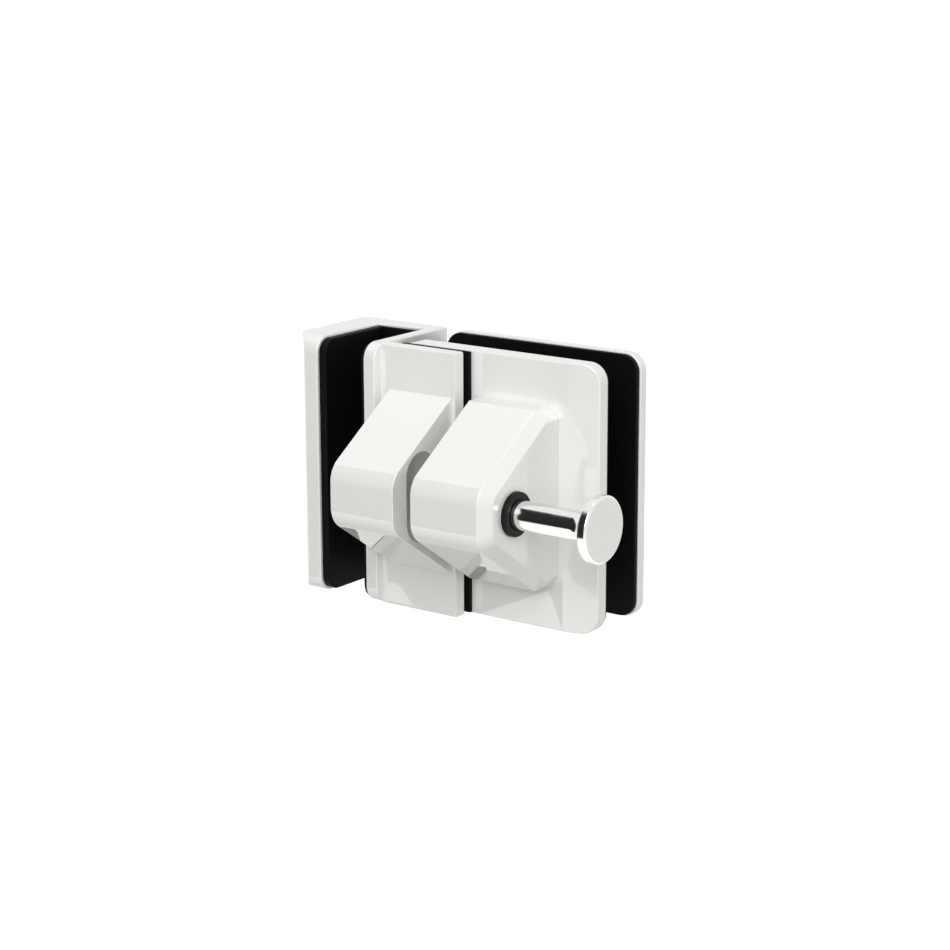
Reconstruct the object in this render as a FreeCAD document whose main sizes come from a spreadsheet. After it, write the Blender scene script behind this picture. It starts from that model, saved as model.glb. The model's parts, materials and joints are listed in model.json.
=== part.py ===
"""Latch for a glass gate that closes at ninety degrees on a fixed glass panel.

The fixed half is a channel that grips the panel's edge and carries a strike plate and strike
housing. The gate half is a pair of plates clamped on the gate's glass. A sprung bolt slides in
its housing and is drawn by a knob.

All sizes are in millimetres. X runs along the gate towards the knob, Y from the knob side to the
back plate, and Z up. Every piece is drawn in a working frame that has X = 0 at the strike plate's
free edge, Y = 0 at the strike plate's back face and Z = 0 at mid-height. Each placement then
moves the piece so that the part's origin is the seat of the fixed panel's edge. Turned pieces
have Y = 0 on the bolt's axis instead.
"""
import FreeCAD
import Part
import Sketcher
import math
import os
import re
from enum import IntEnum

DRIVING_SIZES = (
    ("plate_height", 80.0, "height of the channel, plates and strike plate"),
    ("fixed_glass_gap", 13.6, "free space between the channel's pads"),
    ("channel_pad_thickness", 1.4, "rubber pads on the channel's floor and inner leg"),
    ("outer_pad_thickness", 2.7, "rubber pad on the outer leg"),
    ("inner_leg_thickness", 4.2, "channel leg beside the gate"),
    ("outer_leg_thickness", 10.5, "channel leg that holds the set screws"),
    ("outer_leg_nose_width", 5.0, "flat front of the outer leg"),
    ("outer_leg_bevel_run", 6.0, "bevel behind that flat, measured along Y"),
    ("leg_reach", 7.2, "legs' fronts, ahead of the strike plate's back"),
    ("leg_corner_radius", 5.2, "rounded front corners of the legs"),
    ("web_setback", 22.8, "channel floor, behind the strike plate's back"),
    ("web_thickness", 6.5, "back wall of the channel"),
    ("strike_plate_length", 27.6, "strike plate, from the inner leg to its free edge"),
    ("strike_plate_thickness", 4.2, "strike plate"),
    ("channel_pad_inset", 0.8, "pads' edges inside the channel's edges"),
    ("web_pad_gap", 0.1, "between the floor's pad and the pads beside it"),
    ("web_pad_step", 0.3, "floor pad's tongues under the side pads, below its face"),
    ("press_plate_width", 22.0, "steel plate under the outer pad, along Y"),
    ("press_plate_height", 58.0, "steel plate under the outer pad, along Z"),
    ("press_plate_thickness", 2.5, "steel plate under the outer pad"),
    ("press_plate_radius", 4.0, "corners of that plate and its pocket"),
    ("press_plate_centre", 8.0, "its centre, behind the strike plate's back"),
    ("press_plate_clearance", 0.3, "round that plate in its pocket"),
    ("set_screw_diameter", 6.0, "screws that push the steel plate"),
    ("set_screw_length", 6.5, "set screws"),
    ("set_screw_spread", 36.0, "distance between the set screws"),
    ("set_screw_socket", 3.0, "hexagon across its flats"),
    ("housing_half_height", 26.8, "half the height of both housings at the plates"),
    ("housing_reach", 32.5, "housings' fronts, ahead of the strike plate's back"),
    ("housing_front_half", 7.8, "half the height of the flat front, at its sharp corners"),
    ("housing_edge_radius", 7.5, "round between a slope and the front"),
    ("housing_wall", 3.0, "walls of both housings"),
    ("strike_housing_length", 22.9, "strike housing along X"),
    ("strike_housing_setback", 1.3, "its open end, inside the strike plate's free edge"),
    ("strike_slot_width", 13.9, "slot that takes the bolt, along Y"),
    ("strike_slot_height", 27.0, "slot that takes the bolt, along Z"),
    ("strike_slot_depth", 11.0, "slot, from the housing's open end"),
    ("strike_pocket_wall", 1.4, "wall round the slot and behind it, inside the housing"),
    ("stop_pad_thickness", 2.8, "rubber strip that meets the strike plate"),
    ("stop_pad_clearance", 0.1, "between that strip and the strike plate"),
    ("stop_pad_lip", 1.25, "strip's thin edge along the strike plate's free edge"),
    ("stop_pad_step", 2.0, "strip's thick part, inside the strike plate's free edge"),
    ("stop_pad_overhang", 0.85, "thin edge past the strike plate's free edge"),
    ("stop_pad_inset", 0.3, "strip's ends inside the front plate's ends"),
    ("gate_plate_start", 2.2, "gap between the inner leg and the gate's plates"),
    ("gate_plate_end", 44.4, "gate's plates, past the strike plate's free edge"),
    ("front_plate_thickness", 6.4, "front plate"),
    ("front_plate_edge", 4.2, "front plate at its tapered edge"),
    ("front_plate_taper", 11.0, "taper's run along X"),
    ("plate_corner_radius", 5.6, "corners of the gate's plates"),
    ("gate_glass_gap", 14.6, "free space between the gaskets"),
    ("front_gasket_thickness", 1.1, "gasket on the front plate"),
    ("back_gasket_thickness", 1.6, "gasket on the back plate"),
    ("gasket_inset", 0.5, "gaskets' edges inside the plates' edges"),
    ("back_plate_thickness", 3.1, "back plate"),
    ("clamp_screw_place", 18.4, "clamp screws, past the strike plate's free edge"),
    ("clamp_screw_spread", 29.0, "distance between the clamp screws"),
    ("clamp_screw_diameter", 6.0, "clamp screws"),
    ("clamp_screw_tip", 1.5, "screws' ends past the front plate's face"),
    ("clamp_head_diameter", 10.5, "button heads"),
    ("clamp_head_height", 3.3, "button heads"),
    ("clamp_socket", 4.0, "hexagon across its flats"),
    ("clamp_washer_diameter", 12.5, "washers under the button heads"),
    ("clamp_washer_thickness", 1.2, "washers under the button heads"),
    ("sleeve_diameter", 12.0, "plastic sleeves in the gate glass"),
    ("sleeve_length", 12.0, "plastic sleeves in the gate glass"),
    ("case_screw_diameter", 4.0, "screws that hold the housings"),
    ("case_head_diameter", 7.8, "their countersunk heads"),
    ("case_screw_bite", 6.0, "screws' length inside a boss"),
    ("case_socket", 2.5, "hexagon across its flats"),
    ("boss_diameter", 6.8, "bosses inside the housings"),
    ("boss_length", 8.0, "bosses inside the housings"),
    ("latch_boss_inset", 7.8, "boss centres inside the latch housing's top and bottom"),
    ("strike_boss_inset", 10.8, "boss centres inside the strike housing's top and bottom"),
    ("boss_offset", 3.2, "boss centres from the inside of an end wall"),
    ("latch_housing_start", 5.0, "latch housing's near end, past the free edge"),
    ("latch_housing_length", 26.7, "latch housing along X"),
    ("end_chamfer", 3.3, "bevel round the latch housing's knob end"),
    ("rib_thickness", 2.0, "ribs that keep the carriage upright"),
    ("bolt_axis_setback", 13.5, "bolt's axis, behind the housings' fronts"),
    ("bolt_diameter", 8.6, "bolt's nose and pull pin"),
    ("bolt_engagement", 8.8, "bolt's tip inside the strike plate's free edge"),
    ("bolt_travel", 12.5, "bolt's slide"),
    ("bolt_bevel_run", 9.6, "slope on the nose, along X"),
    ("bolt_tip_flat", 1.0, "flat left at the tip"),
    ("carriage_side", 16.0, "square carriage behind the nose"),
    ("carriage_length", 5.4, "carriage along X"),
    ("carriage_floor", 1.8, "carriage's end wall, which the spring pushes"),
    ("carriage_corner", 1.0, "bevel on the carriage's corners"),
    ("thread_diameter", 5.0, "pull pin's threaded end in the bolt"),
    ("thread_length", 6.0, "pull pin's threaded end in the bolt"),
    ("spring_wire", 0.9, "spring wire"),
    ("spring_outside", 11.0, "spring's outside diameter"),
    ("spring_turns", 6.0, "spring's turns"),
    ("bush_diameter", 13.0, "knob-end bush where it passes the wall"),
    ("bush_stand_out", 1.5, "knob-end bush past the end face"),
    ("bush_flange", 15.6, "inner flange of both bushes"),
    ("bush_flange_thickness", 1.5, "inner flange of the knob-end bush"),
    ("bush_bevel", 0.5, "bevel on the bush's outer rim"),
    ("spring_seat_depth", 2.5, "spring seat inside the knob-end bush"),
    ("nose_bush_diameter", 12.0, "nose-end bush where it passes the wall"),
    ("nose_flange_thickness", 0.8, "inner flange of the nose-end bush"),
    ("knob_stand_off", 25.8, "knob's back from the bush's outer face"),
    ("knob_diameter", 19.4, "knob"),
    ("knob_thickness", 3.1, "knob's disc"),
    ("knob_rim_bevel", 0.45, "bevel round both faces of the disc"),
    ("knob_neck_length", 2.6, "flare between the pin and the disc"),
    ("knob_neck_diameter", 12.4, "flare where it meets the disc"),
    ("knob_tenon_diameter", 5.0, "pull pin's end inside the knob"),
    ("knob_tenon_length", 3.6, "pull pin's end inside the knob"),
    ("cross_pin_diameter", 2.0, "pin that locks the pull pin in the bolt"),
    ("cross_pin_length", 8.0, "pin that locks the pull pin in the bolt"),
    ("cross_pin_place", 7.4, "that pin, past the strike plate's free edge"),
    ("pin_end_bevel", 0.2, "bevel on that pin's ends"),
    ("thread_lead", 0.6, "bevel on the screws' ends"),
    ("running_clearance", 0.05, "all round a sliding shaft"),
    ("fitted_clearance", 0.02, "all round a fitted shank or bush"),
    ("seat_clearance", 0.2, "between a moving piece and its stop"),
)

DERIVED_PLACES = (
    ("half_height", "plate_height / 2"),
    ("leg_right", "-strike_plate_length"),
    ("leg_left", "leg_right - inner_leg_thickness"),
    ("inner_pad_left", "leg_left - channel_pad_thickness"),
    ("outer_pad_right", "inner_pad_left - fixed_glass_gap"),
    ("outer_pad_left", "outer_pad_right - outer_pad_thickness"),
    ("channel_left", "outer_pad_left - running_clearance"),
    ("channel_outside", "channel_left - outer_leg_thickness"),
    ("nose_left", "channel_left - outer_leg_nose_width"),
    ("channel_back", "web_setback + web_thickness"),
    ("panel_edge", "web_setback - channel_pad_thickness"),
    ("shift_x", "-(inner_pad_left + outer_pad_right) / 2"),
    ("shift_y", "-panel_edge"),
    ("bolt_axis_depth", "housing_reach - bolt_axis_setback"),
    ("axis_shift_y", "shift_y - bolt_axis_depth"),
    ("press_plate_left", "channel_left - press_plate_thickness"),
    ("press_pocket_left", "press_plate_left - press_plate_clearance"),
    ("web_pad_left", "outer_pad_right + web_pad_gap"),
    ("web_pad_right", "inner_pad_left - web_pad_gap"),
    ("strike_housing_end", "-strike_housing_setback"),
    ("strike_housing_left", "strike_housing_end - strike_housing_length"),
    ("slope_run", "housing_reach - strike_plate_thickness"),
    ("slope_rise", "housing_half_height - housing_front_half"),
    ("slope_fall", "slope_rise / slope_run"),
    ("slope_wall", "housing_wall * sqrt(1 + slope_fall ^ 2)"),
    ("inner_front", "housing_reach - housing_wall"),
    ("inner_front_half", "housing_front_half + housing_wall * slope_fall - slope_wall"),
    ("front_plate_face", "stop_pad_thickness + stop_pad_clearance"),
    ("front_plate_back", "front_plate_face + front_plate_thickness"),
    ("gate_plate_left", "leg_right + gate_plate_start"),
    ("front_gasket_back", "front_plate_back + front_gasket_thickness"),
    ("back_gasket_face", "front_gasket_back + gate_glass_gap"),
    ("back_plate_face", "back_gasket_face + back_gasket_thickness"),
    ("back_plate_back", "back_plate_face + back_plate_thickness"),
    ("latch_inner_left", "latch_housing_start + housing_wall"),
    ("latch_housing_end", "latch_housing_start + latch_housing_length"),
    ("latch_inner_right", "latch_housing_end - housing_wall"),
    ("rib_inside", "carriage_side / 2 + running_clearance + seat_clearance"),
    ("rib_outside", "rib_inside + rib_thickness"),
    ("flange_right", "latch_inner_left + nose_flange_thickness"),
    ("carriage_left", "flange_right + seat_clearance"),
    ("carriage_right", "carriage_left + carriage_length"),
    ("spring_left", "carriage_left + carriage_floor"),
    ("bush_left", "latch_inner_right - bush_flange_thickness"),
    ("spring_right", "bush_left + spring_seat_depth"),
    ("bush_right", "latch_housing_end + bush_stand_out"),
    ("knob_back", "bush_right + knob_stand_off"),
    ("knob_face", "knob_back + knob_thickness"),
    ("neck_left", "knob_back - knob_neck_length"),
    ("tenon_right", "neck_left + knob_tenon_length"),
    ("bolt_tip", "-bolt_engagement"),
    ("strike_boss_left", "strike_housing_left + housing_wall + boss_offset"),
    ("strike_boss_right", "strike_housing_end - housing_wall - boss_offset"),
    ("strike_boss_height", "housing_half_height - strike_boss_inset"),
    ("latch_boss_left", "latch_inner_left + boss_offset"),
    ("latch_boss_right", "latch_inner_right - boss_offset"),
    ("latch_boss_height", "housing_half_height - latch_boss_inset"),
    ("strike_inner_half", "housing_half_height - slope_wall"),
    ("latch_inner_half", "housing_half_height - housing_wall"),
    ("slope_offset", "slope_wall - housing_front_half"),
    ("crease_depth", "housing_reach - (latch_inner_half + slope_offset) / slope_fall"),
    ("bay_depth", "housing_reach - (rib_outside + slope_offset) / slope_fall"),
    ("rib_depth", "housing_reach - (rib_inside + slope_offset) / slope_fall"),
    ("flare_rise", "(knob_neck_diameter - bolt_diameter) / 2"),
    ("flare_radius", "(knob_neck_length ^ 2 + flare_rise ^ 2) / (2 * flare_rise)"),
)

OVERCUT = 1.0
HEXAGON_SIDES = 6
COORDINATE_TOLERANCE = 1e-4
PLACE_GAP = 0.1


class Spot(IntEnum):
    """A sketch's names for the origin and for the points of a line or arc."""

    ORIGIN = -1
    START = 1
    END = 2
    CENTRE = 3


SIZE_NAMES = {name for name, _, _ in DRIVING_SIZES}
PLACE_NAMES = {name for name, _ in DERIVED_PLACES}

document = FreeCAD.newDocument("glass_gate_latch")
sizes = document.addObject("Spreadsheet::Sheet", "Sizes")
places = document.addObject("Spreadsheet::Sheet", "Places")
pieces = []


def bound(text):
    """Return an expression whose size and place names point at their sheets."""
    def sheet_name(match):
        word = match.group(0)
        if word in SIZE_NAMES:
            return "Sizes." + word
        if word in PLACE_NAMES:
            return "Places." + word
        return word
    return re.sub(r"[a-z_]+", sheet_name, text)


def fill_sheets():
    """Write the driving sizes as numbers and the places as formulas on them."""
    for row, (name, value, note) in enumerate(DRIVING_SIZES, start=1):
        sizes.set(f"A{row}", note)
        sizes.set(f"B{row}", str(value))
        sizes.setAlias(f"B{row}", name)
    document.recompute()
    for row, (name, formula) in enumerate(DERIVED_PLACES, start=1):
        places.set(f"A{row}", name.replace("_", " "))
        places.set(f"B{row}", "=" + bound(formula))
        places.setAlias(f"B{row}", name)
        document.recompute()


def number(text):
    """Return an expression's value now."""
    return float(sizes.evalExpression(bound(text)))


def bind(item, **expressions):
    """Bind properties of an object; a double underscore stands for a dot."""
    for name, text in expressions.items():
        item.setExpression(name.replace("__", "."), bound(text))


def finish_piece(piece, label, x="shift_x", y="shift_y", z="0", rotation=None):
    """Name a piece, place it in the part's frame and list it for writing."""
    piece.Label = label
    if rotation is not None:
        piece.Placement = FreeCAD.Placement(FreeCAD.Vector(), rotation)
    bind(piece, Placement__Base__x=x, Placement__Base__y=y, Placement__Base__z=z)
    pieces.append(piece)
    return piece


class Sketch:
    """A sketch on one of a body's origin planes, with every point bound to the sheets."""

    def __init__(self, body, plane, offset="0"):
        self.item = body.newObject("Sketcher::SketchObject", body.Name + "_sketch")
        flat = [f for f in body.Origin.OriginFeatures if f.Role == plane]
        self.item.AttachmentSupport = [(flat[0], "")]
        self.item.MapMode = "FlatFace"
        bind(self.item, AttachmentOffset__Base__z=offset)

    def hold(self, kind, geometry, point, text):
        """Hold one point at a distance from the origin."""
        rule = Sketcher.Constraint(kind, Spot.ORIGIN, Spot.START, geometry, point, number(text))
        index = self.item.addConstraint(rule)
        self.item.setExpression(f"Constraints[{index}]", bound(text))

    def place(self, geometry, point, x, y):
        """Hold one point by both of its coordinates."""
        self.hold("DistanceX", geometry, point, x)
        self.hold("DistanceY", geometry, point, y)

    def radius(self, geometry, text):
        """Bind the radius of a circle or arc."""
        index = self.item.addConstraint(Sketcher.Constraint("Radius", geometry, number(text)))
        self.item.setExpression(f"Constraints[{index}]", bound(text))

    def arc(self, first, second, centre, radius):
        """Add the shorter arc between two points; say which of its ends comes first."""
        angles = [math.atan2(p.y - centre.y, p.x - centre.x) for p in (first, second)]
        sweep = (angles[1] - angles[0]) % (2 * math.pi)
        circle = Part.Circle(centre, FreeCAD.Vector(0, 0, 1), radius)
        if sweep <= math.pi + COORDINATE_TOLERANCE:
            shape = Part.ArcOfCircle(circle, angles[0], angles[0] + sweep)
            return self.item.addGeometry(shape, False), Spot.START, Spot.END
        shape = Part.ArcOfCircle(circle, angles[1], angles[1] + 2 * math.pi - sweep)
        return self.item.addGeometry(shape, False), Spot.END, Spot.START

    def outline(self, corners, arcs=None):
        """Draw a closed outline.

        corners are pairs of expressions. arcs maps a corner's index to the centre and radius of
        the arc that runs from it to the next corner, in place of a straight line.
        """
        points = [FreeCAD.Vector(number(x), number(y), 0) for x, y in corners]
        count = len(points)
        edges = []
        for index in range(count):
            following = points[(index + 1) % count]
            if arcs and index in arcs:
                x, y, radius = arcs[index]
                centre = FreeCAD.Vector(number(x), number(y), 0)
                edges.append(self.arc(points[index], following, centre, number(radius)))
            else:
                line = Part.LineSegment(points[index], following)
                edges.append((self.item.addGeometry(line, False), Spot.START, Spot.END))
        for index, (geometry, head, _) in enumerate(edges):
            before, _, tail = edges[index - 1]
            self.item.addConstraint(Sketcher.Constraint("Coincident", before, tail, geometry, head))
            self.place(geometry, head, *corners[index])
        for index in sorted(arcs or {}):
            self.radius(edges[index][0], arcs[index][2])
        return self

    def rectangle(self, left, right, low, high):
        """Draw a rectangle from four expressions."""
        return self.outline(((left, low), (right, low), (right, high), (left, high)))

    def circle(self, x, y, radius):
        """Draw a circle."""
        centre = FreeCAD.Vector(number(x), number(y), 0)
        shape = Part.Circle(centre, FreeCAD.Vector(0, 0, 1), number(radius))
        index = self.item.addGeometry(shape, False)
        self.place(index, Spot.CENTRE, x, y)
        self.radius(index, radius)
        return self

    def upright_slot(self, x, width, height):
        """Draw an obround slot whose long way is the sketch's second axis."""
        radius = f"({width}) / 2"
        straight = f"(({height}) - ({width})) / 2"
        up = FreeCAD.Vector(number(x), number(straight), 0)
        down = FreeCAD.Vector(number(x), -number(straight), 0)
        side = FreeCAD.Vector(number(radius), 0, 0)
        normal = FreeCAD.Vector(0, 0, 1)
        shapes = (
            Part.ArcOfCircle(Part.Circle(up, normal, number(radius)), 0, math.pi),
            Part.LineSegment(up - side, down - side),
            Part.ArcOfCircle(Part.Circle(down, normal, number(radius)), math.pi, 2 * math.pi),
            Part.LineSegment(down + side, up + side),
        )
        indices = [self.item.addGeometry(shape, False) for shape in shapes]
        for before, after in zip(indices, indices[1:] + indices[:1]):
            ends = (before, Spot.END, after, Spot.START)
            self.item.addConstraint(Sketcher.Constraint("Tangent", *ends))
        for index, height_of_centre in ((indices[0], straight), (indices[2], f"-{straight}")):
            self.place(index, Spot.CENTRE, x, height_of_centre)
            self.radius(index, radius)
        return self

    def hexagon(self, x, y, across_flats):
        """Draw a hexagon round a point."""
        reach = f"({across_flats}) / (2 * cos(30deg))"
        step = 360 // HEXAGON_SIDES
        corners = []
        for index in range(HEXAGON_SIDES):
            angle = f"{step * index}deg"
            corners.append((f"{x} + {reach} * cos({angle})", f"{y} + {reach} * sin({angle})"))
        return self.outline(corners)


def new_body(name):
    """Start a body."""
    return document.addObject("PartDesign::Body", name)


def pad(body, sketch, length, symmetric=False, against_normal=False):
    """Add material from a sketch."""
    feature = body.newObject("PartDesign::Pad", body.Name + "_pad")
    feature.Profile = sketch.item
    if symmetric:
        feature.SideType = "Symmetric"
    feature.Reversed = against_normal
    bind(feature, Length=length)
    document.recompute()
    return feature


def cut(body, sketch, length, symmetric=False, along_normal=False):
    """Take material away from a sketch, and insist that something was cut."""
    before = body.Shape.Volume
    feature = body.newObject("PartDesign::Pocket", body.Name + "_pocket")
    feature.Profile = sketch.item
    if symmetric:
        feature.SideType = "Symmetric"
    feature.Reversed = along_normal
    bind(feature, Length=length)
    document.recompute()
    if body.Shape.Volume >= before:
        raise RuntimeError(body.Name + ": a pocket cut nothing")
    return feature


def countersunk_holes(body, sketch):
    """Drill the case screws' holes along the sketch's normal, sunk for their heads."""
    document.recompute()
    before = body.Shape.Volume
    feature = body.newObject("PartDesign::Hole", body.Name + "_holes")
    feature.Profile = sketch.item
    feature.DepthType = "ThroughAll"
    feature.Reversed = True
    feature.HoleCutType = "Countersink"
    feature.HoleCutCustomValues = True
    feature.HoleCutCountersinkAngle = 90.0
    bind(feature, Diameter="case_screw_diameter + 2 * fitted_clearance",
         HoleCutDiameter="case_head_diameter + 2 * fitted_clearance")
    document.recompute()
    if body.Shape.Volume >= before:
        raise RuntimeError(body.Name + ": the holes cut nothing")
    return feature


def turned(name, corners, arcs=None):
    """Make a piece turned round its own X axis, from a profile of axial place and radius."""
    body = new_body(name)
    profile = Sketch(body, "XY_Plane").outline(corners, arcs)
    feature = body.newObject("PartDesign::Revolution", name + "_turned")
    feature.Profile = profile.item
    feature.ReferenceAxis = (profile.item, ["H_Axis"])
    feature.Angle = 360.0
    document.recompute()
    return body


def near(value, text):
    """Say whether a coordinate has an expression's value."""
    return abs(value - number(text)) < COORDINATE_TOLERANCE


def edges_along(feature, axis, test):
    """Name the straight edges parallel to one axis whose first end passes a test."""
    names = []
    across = [name for name in "xyz" if name != axis]
    for index, edge in enumerate(feature.Shape.Edges, start=1):
        ends = [vertex.Point for vertex in edge.Vertexes]
        if len(ends) != 2:
            continue
        level = all(abs(getattr(ends[0], a) - getattr(ends[1], a)) < COORDINATE_TOLERANCE for a in across)
        if level and test(ends[0]):
            names.append(f"Edge{index}")
    return names


def dress(body, kind, base, names, **size):
    """Add a fillet or chamfer on named edges."""
    if not names:
        raise RuntimeError(body.Name + ": no edge to dress")
    feature = body.newObject("PartDesign::" + kind, body.Name + "_" + kind.lower())
    feature.Base = (base, names)
    bind(feature, **size)
    document.recompute()
    return feature


def upright_sheet(name, left, right, face, thickness, half_height, radius):
    """Make a sheet that stands along the gate, with rounded corners."""
    body = new_body(name)
    outline = Sketch(body, "XZ_Plane", f"-({face})")
    outline.rectangle(left, right, f"-({half_height})", half_height)
    slab = pad(body, outline, thickness, against_normal=True)
    corners = edges_along(slab, "y", lambda p: True)
    dress(body, "Fillet", slab, corners, Radius=radius)
    return body


def both_ways(spread):
    """Give the two heights that lie half a spread above and below the middle."""
    return (f"({spread}) / 2", f"-({spread}) / 2")


def channel_body():
    """Cast channel for the fixed panel, with the strike plate beside it."""
    body = new_body("channel_body")
    plan = Sketch(body, "XY_Plane").outline((
        ("channel_outside", "channel_back"),
        ("channel_outside", "outer_leg_bevel_run - leg_reach"),
        ("nose_left", "-leg_reach"),
        ("channel_left", "-leg_reach"),
        ("channel_left", "web_setback"),
        ("leg_left", "web_setback"),
        ("leg_left", "-leg_reach"),
        ("leg_right", "-leg_reach"),
        ("leg_right", "-strike_plate_thickness"),
        ("0", "-strike_plate_thickness"),
        ("0", "0"),
        ("leg_right", "0"),
        ("leg_right", "channel_back"),
    ))
    pad(body, plan, "plate_height", symmetric=True)
    waste = Sketch(body, "YZ_Plane", f"channel_outside - {OVERCUT}")
    for sign in ("", "-"):
        tangent = f"{sign}(half_height - leg_corner_radius)"
        top = f"{sign}half_height"
        above = f"{sign}(half_height + {OVERCUT})"
        front = f"-leg_reach - {OVERCUT}"
        behind = "leg_corner_radius - leg_reach"
        waste.outline(
            (("-leg_reach", tangent), (behind, top), (behind, above), (front, above), (front, tangent)),
            {0: (behind, tangent, "leg_corner_radius")})
    cut(body, waste, f"leg_right - channel_outside + {OVERCUT}", along_normal=True)
    seat = Sketch(body, "YZ_Plane", "channel_left")
    across = "press_plate_width / 2 + press_plate_clearance"
    tall = "press_plate_height / 2 + press_plate_clearance"
    seat.rectangle(f"press_plate_centre - ({across})", f"press_plate_centre + {across}",
                   f"-({tall})", tall)
    pocket = cut(body, seat, "channel_left - press_pocket_left")
    corners = edges_along(
        pocket, "x",
        lambda p: near(abs(p.z), tall) and p.x < number("channel_left") + COORDINATE_TOLERANCE)
    dress(body, "Fillet", pocket, corners, Radius="press_plate_radius")
    threads = Sketch(body, "YZ_Plane", "channel_outside")
    for height in both_ways("set_screw_spread"):
        threads.circle("press_plate_centre", height, "set_screw_diameter / 2 + running_clearance")
    cut(body, threads, "outer_leg_thickness", along_normal=True)
    holes = Sketch(body, "XZ_Plane", "0")
    for place in ("strike_boss_left", "strike_boss_right"):
        for height in both_ways("2 * strike_boss_height"):
            holes.circle(place, height, "case_screw_diameter / 2")
    countersunk_holes(body, holes)
    return finish_piece(body, "channel_body")


def channel_pad(name, left, thickness):
    """Rubber pad on one side of the channel, rounded at its front corners."""
    body = new_body(name)
    front = "leg_reach - channel_pad_inset"
    tall = "half_height - channel_pad_inset"
    side = Sketch(body, "YZ_Plane", left)
    side.rectangle(f"-({front})", "panel_edge - web_pad_gap", f"-({tall})", tall)
    slab = pad(body, side, thickness)
    corners = edges_along(slab, "x", lambda p: near(-p.y, front))
    dress(body, "Fillet", slab, corners, Radius="leg_corner_radius - channel_pad_inset")
    return finish_piece(body, name)


def channel_web_pad():
    """Rubber pad on the channel's floor, with a tongue under each side pad."""
    body = new_body("channel_pad_web")
    plan = Sketch(body, "XY_Plane").outline((
        ("channel_left", "web_setback"),
        ("channel_left", "panel_edge + web_pad_step"),
        ("web_pad_left", "panel_edge + web_pad_step"),
        ("web_pad_left", "panel_edge"),
        ("web_pad_right", "panel_edge"),
        ("web_pad_right", "panel_edge + web_pad_step"),
        ("leg_left", "panel_edge + web_pad_step"),
        ("leg_left", "web_setback"),
    ))
    pad(body, plan, "plate_height - 2 * channel_pad_inset", symmetric=True)
    return finish_piece(body, "channel_pad_web")


def press_plate():
    """Steel plate that spreads the set screws' push over the outer pad."""
    body = new_body("press_plate")
    side = Sketch(body, "YZ_Plane", "press_plate_left")
    side.rectangle("press_plate_centre - press_plate_width / 2",
                   "press_plate_centre + press_plate_width / 2",
                   "-press_plate_height / 2", "press_plate_height / 2")
    slab = pad(body, side, "press_plate_thickness")
    dress(body, "Fillet", slab, edges_along(slab, "x", lambda p: True), Radius="press_plate_radius")
    return finish_piece(body, "press_plate")


def set_screws():
    """Two hexagon-socket set screws in the outer leg."""
    for index, height in enumerate(both_ways("set_screw_spread"), start=1):
        body = turned(f"set_screw_{index}", (
            ("press_plate_left - set_screw_length", "0"),
            ("press_plate_left - set_screw_length", "set_screw_diameter / 2"),
            ("press_plate_left - thread_lead", "set_screw_diameter / 2"),
            ("press_plate_left", "set_screw_diameter / 2 - thread_lead"),
            ("press_plate_left", "0"),
        ))
        socket = Sketch(body, "YZ_Plane", "press_plate_left - set_screw_length")
        socket.hexagon("0", "0", "set_screw_socket")
        cut(body, socket, "set_screw_socket", along_normal=True)
        finish_piece(body, f"set_screw_{index}", y="shift_y + press_plate_centre", z=height)


def case_profile(sketch, back):
    """Draw the housings' common profile, from the plane of their back face."""
    corners = [("-strike_plate_thickness", "housing_half_height"),
               ("-housing_reach", "housing_front_half"),
               ("-housing_reach", "-housing_front_half"),
               ("-strike_plate_thickness", "-housing_half_height")]
    if back != "-strike_plate_thickness":
        corners = [(back, "housing_half_height")] + corners + [(back, "-housing_half_height")]
    return sketch.outline(corners)


def case_blank(name, back, left, length):
    """Pad the housings' profile and round the front's two edges."""
    body = new_body(name)
    block = pad(body, case_profile(Sketch(body, "YZ_Plane", left), back), length)
    fronts = edges_along(block, "x", lambda p: near(p.y, "-housing_reach"))
    rounded = dress(body, "Fillet", block, fronts, Radius="housing_edge_radius")
    return body, rounded


def add_bosses(body, face, columns, boss_height):
    """Add four bosses behind the mounting face, each with a web to its end wall, and drill them."""
    patterns = [Sketch(body, "XZ_Plane", f"-({face})") for _ in range(3)]
    rounds, webs, bores = patterns
    root = "(boss_offset + housing_wall / 2)"
    for column, wall in zip(columns, (f"{columns[0]} - {root}", f"{columns[1]} + {root}")):
        for height in both_ways(f"2 * {boss_height}"):
            rounds.circle(column, height, "boss_diameter / 2")
            webs.rectangle(column, wall, f"{height} - boss_diameter / 2",
                           f"{height} + boss_diameter / 2")
            bores.circle(column, height, "case_screw_diameter / 2 + fitted_clearance")
    pad(body, rounds, "boss_length")
    pad(body, webs, "boss_length")
    cut(body, bores, f"case_screw_bite + {PLACE_GAP}", along_normal=True)


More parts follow.
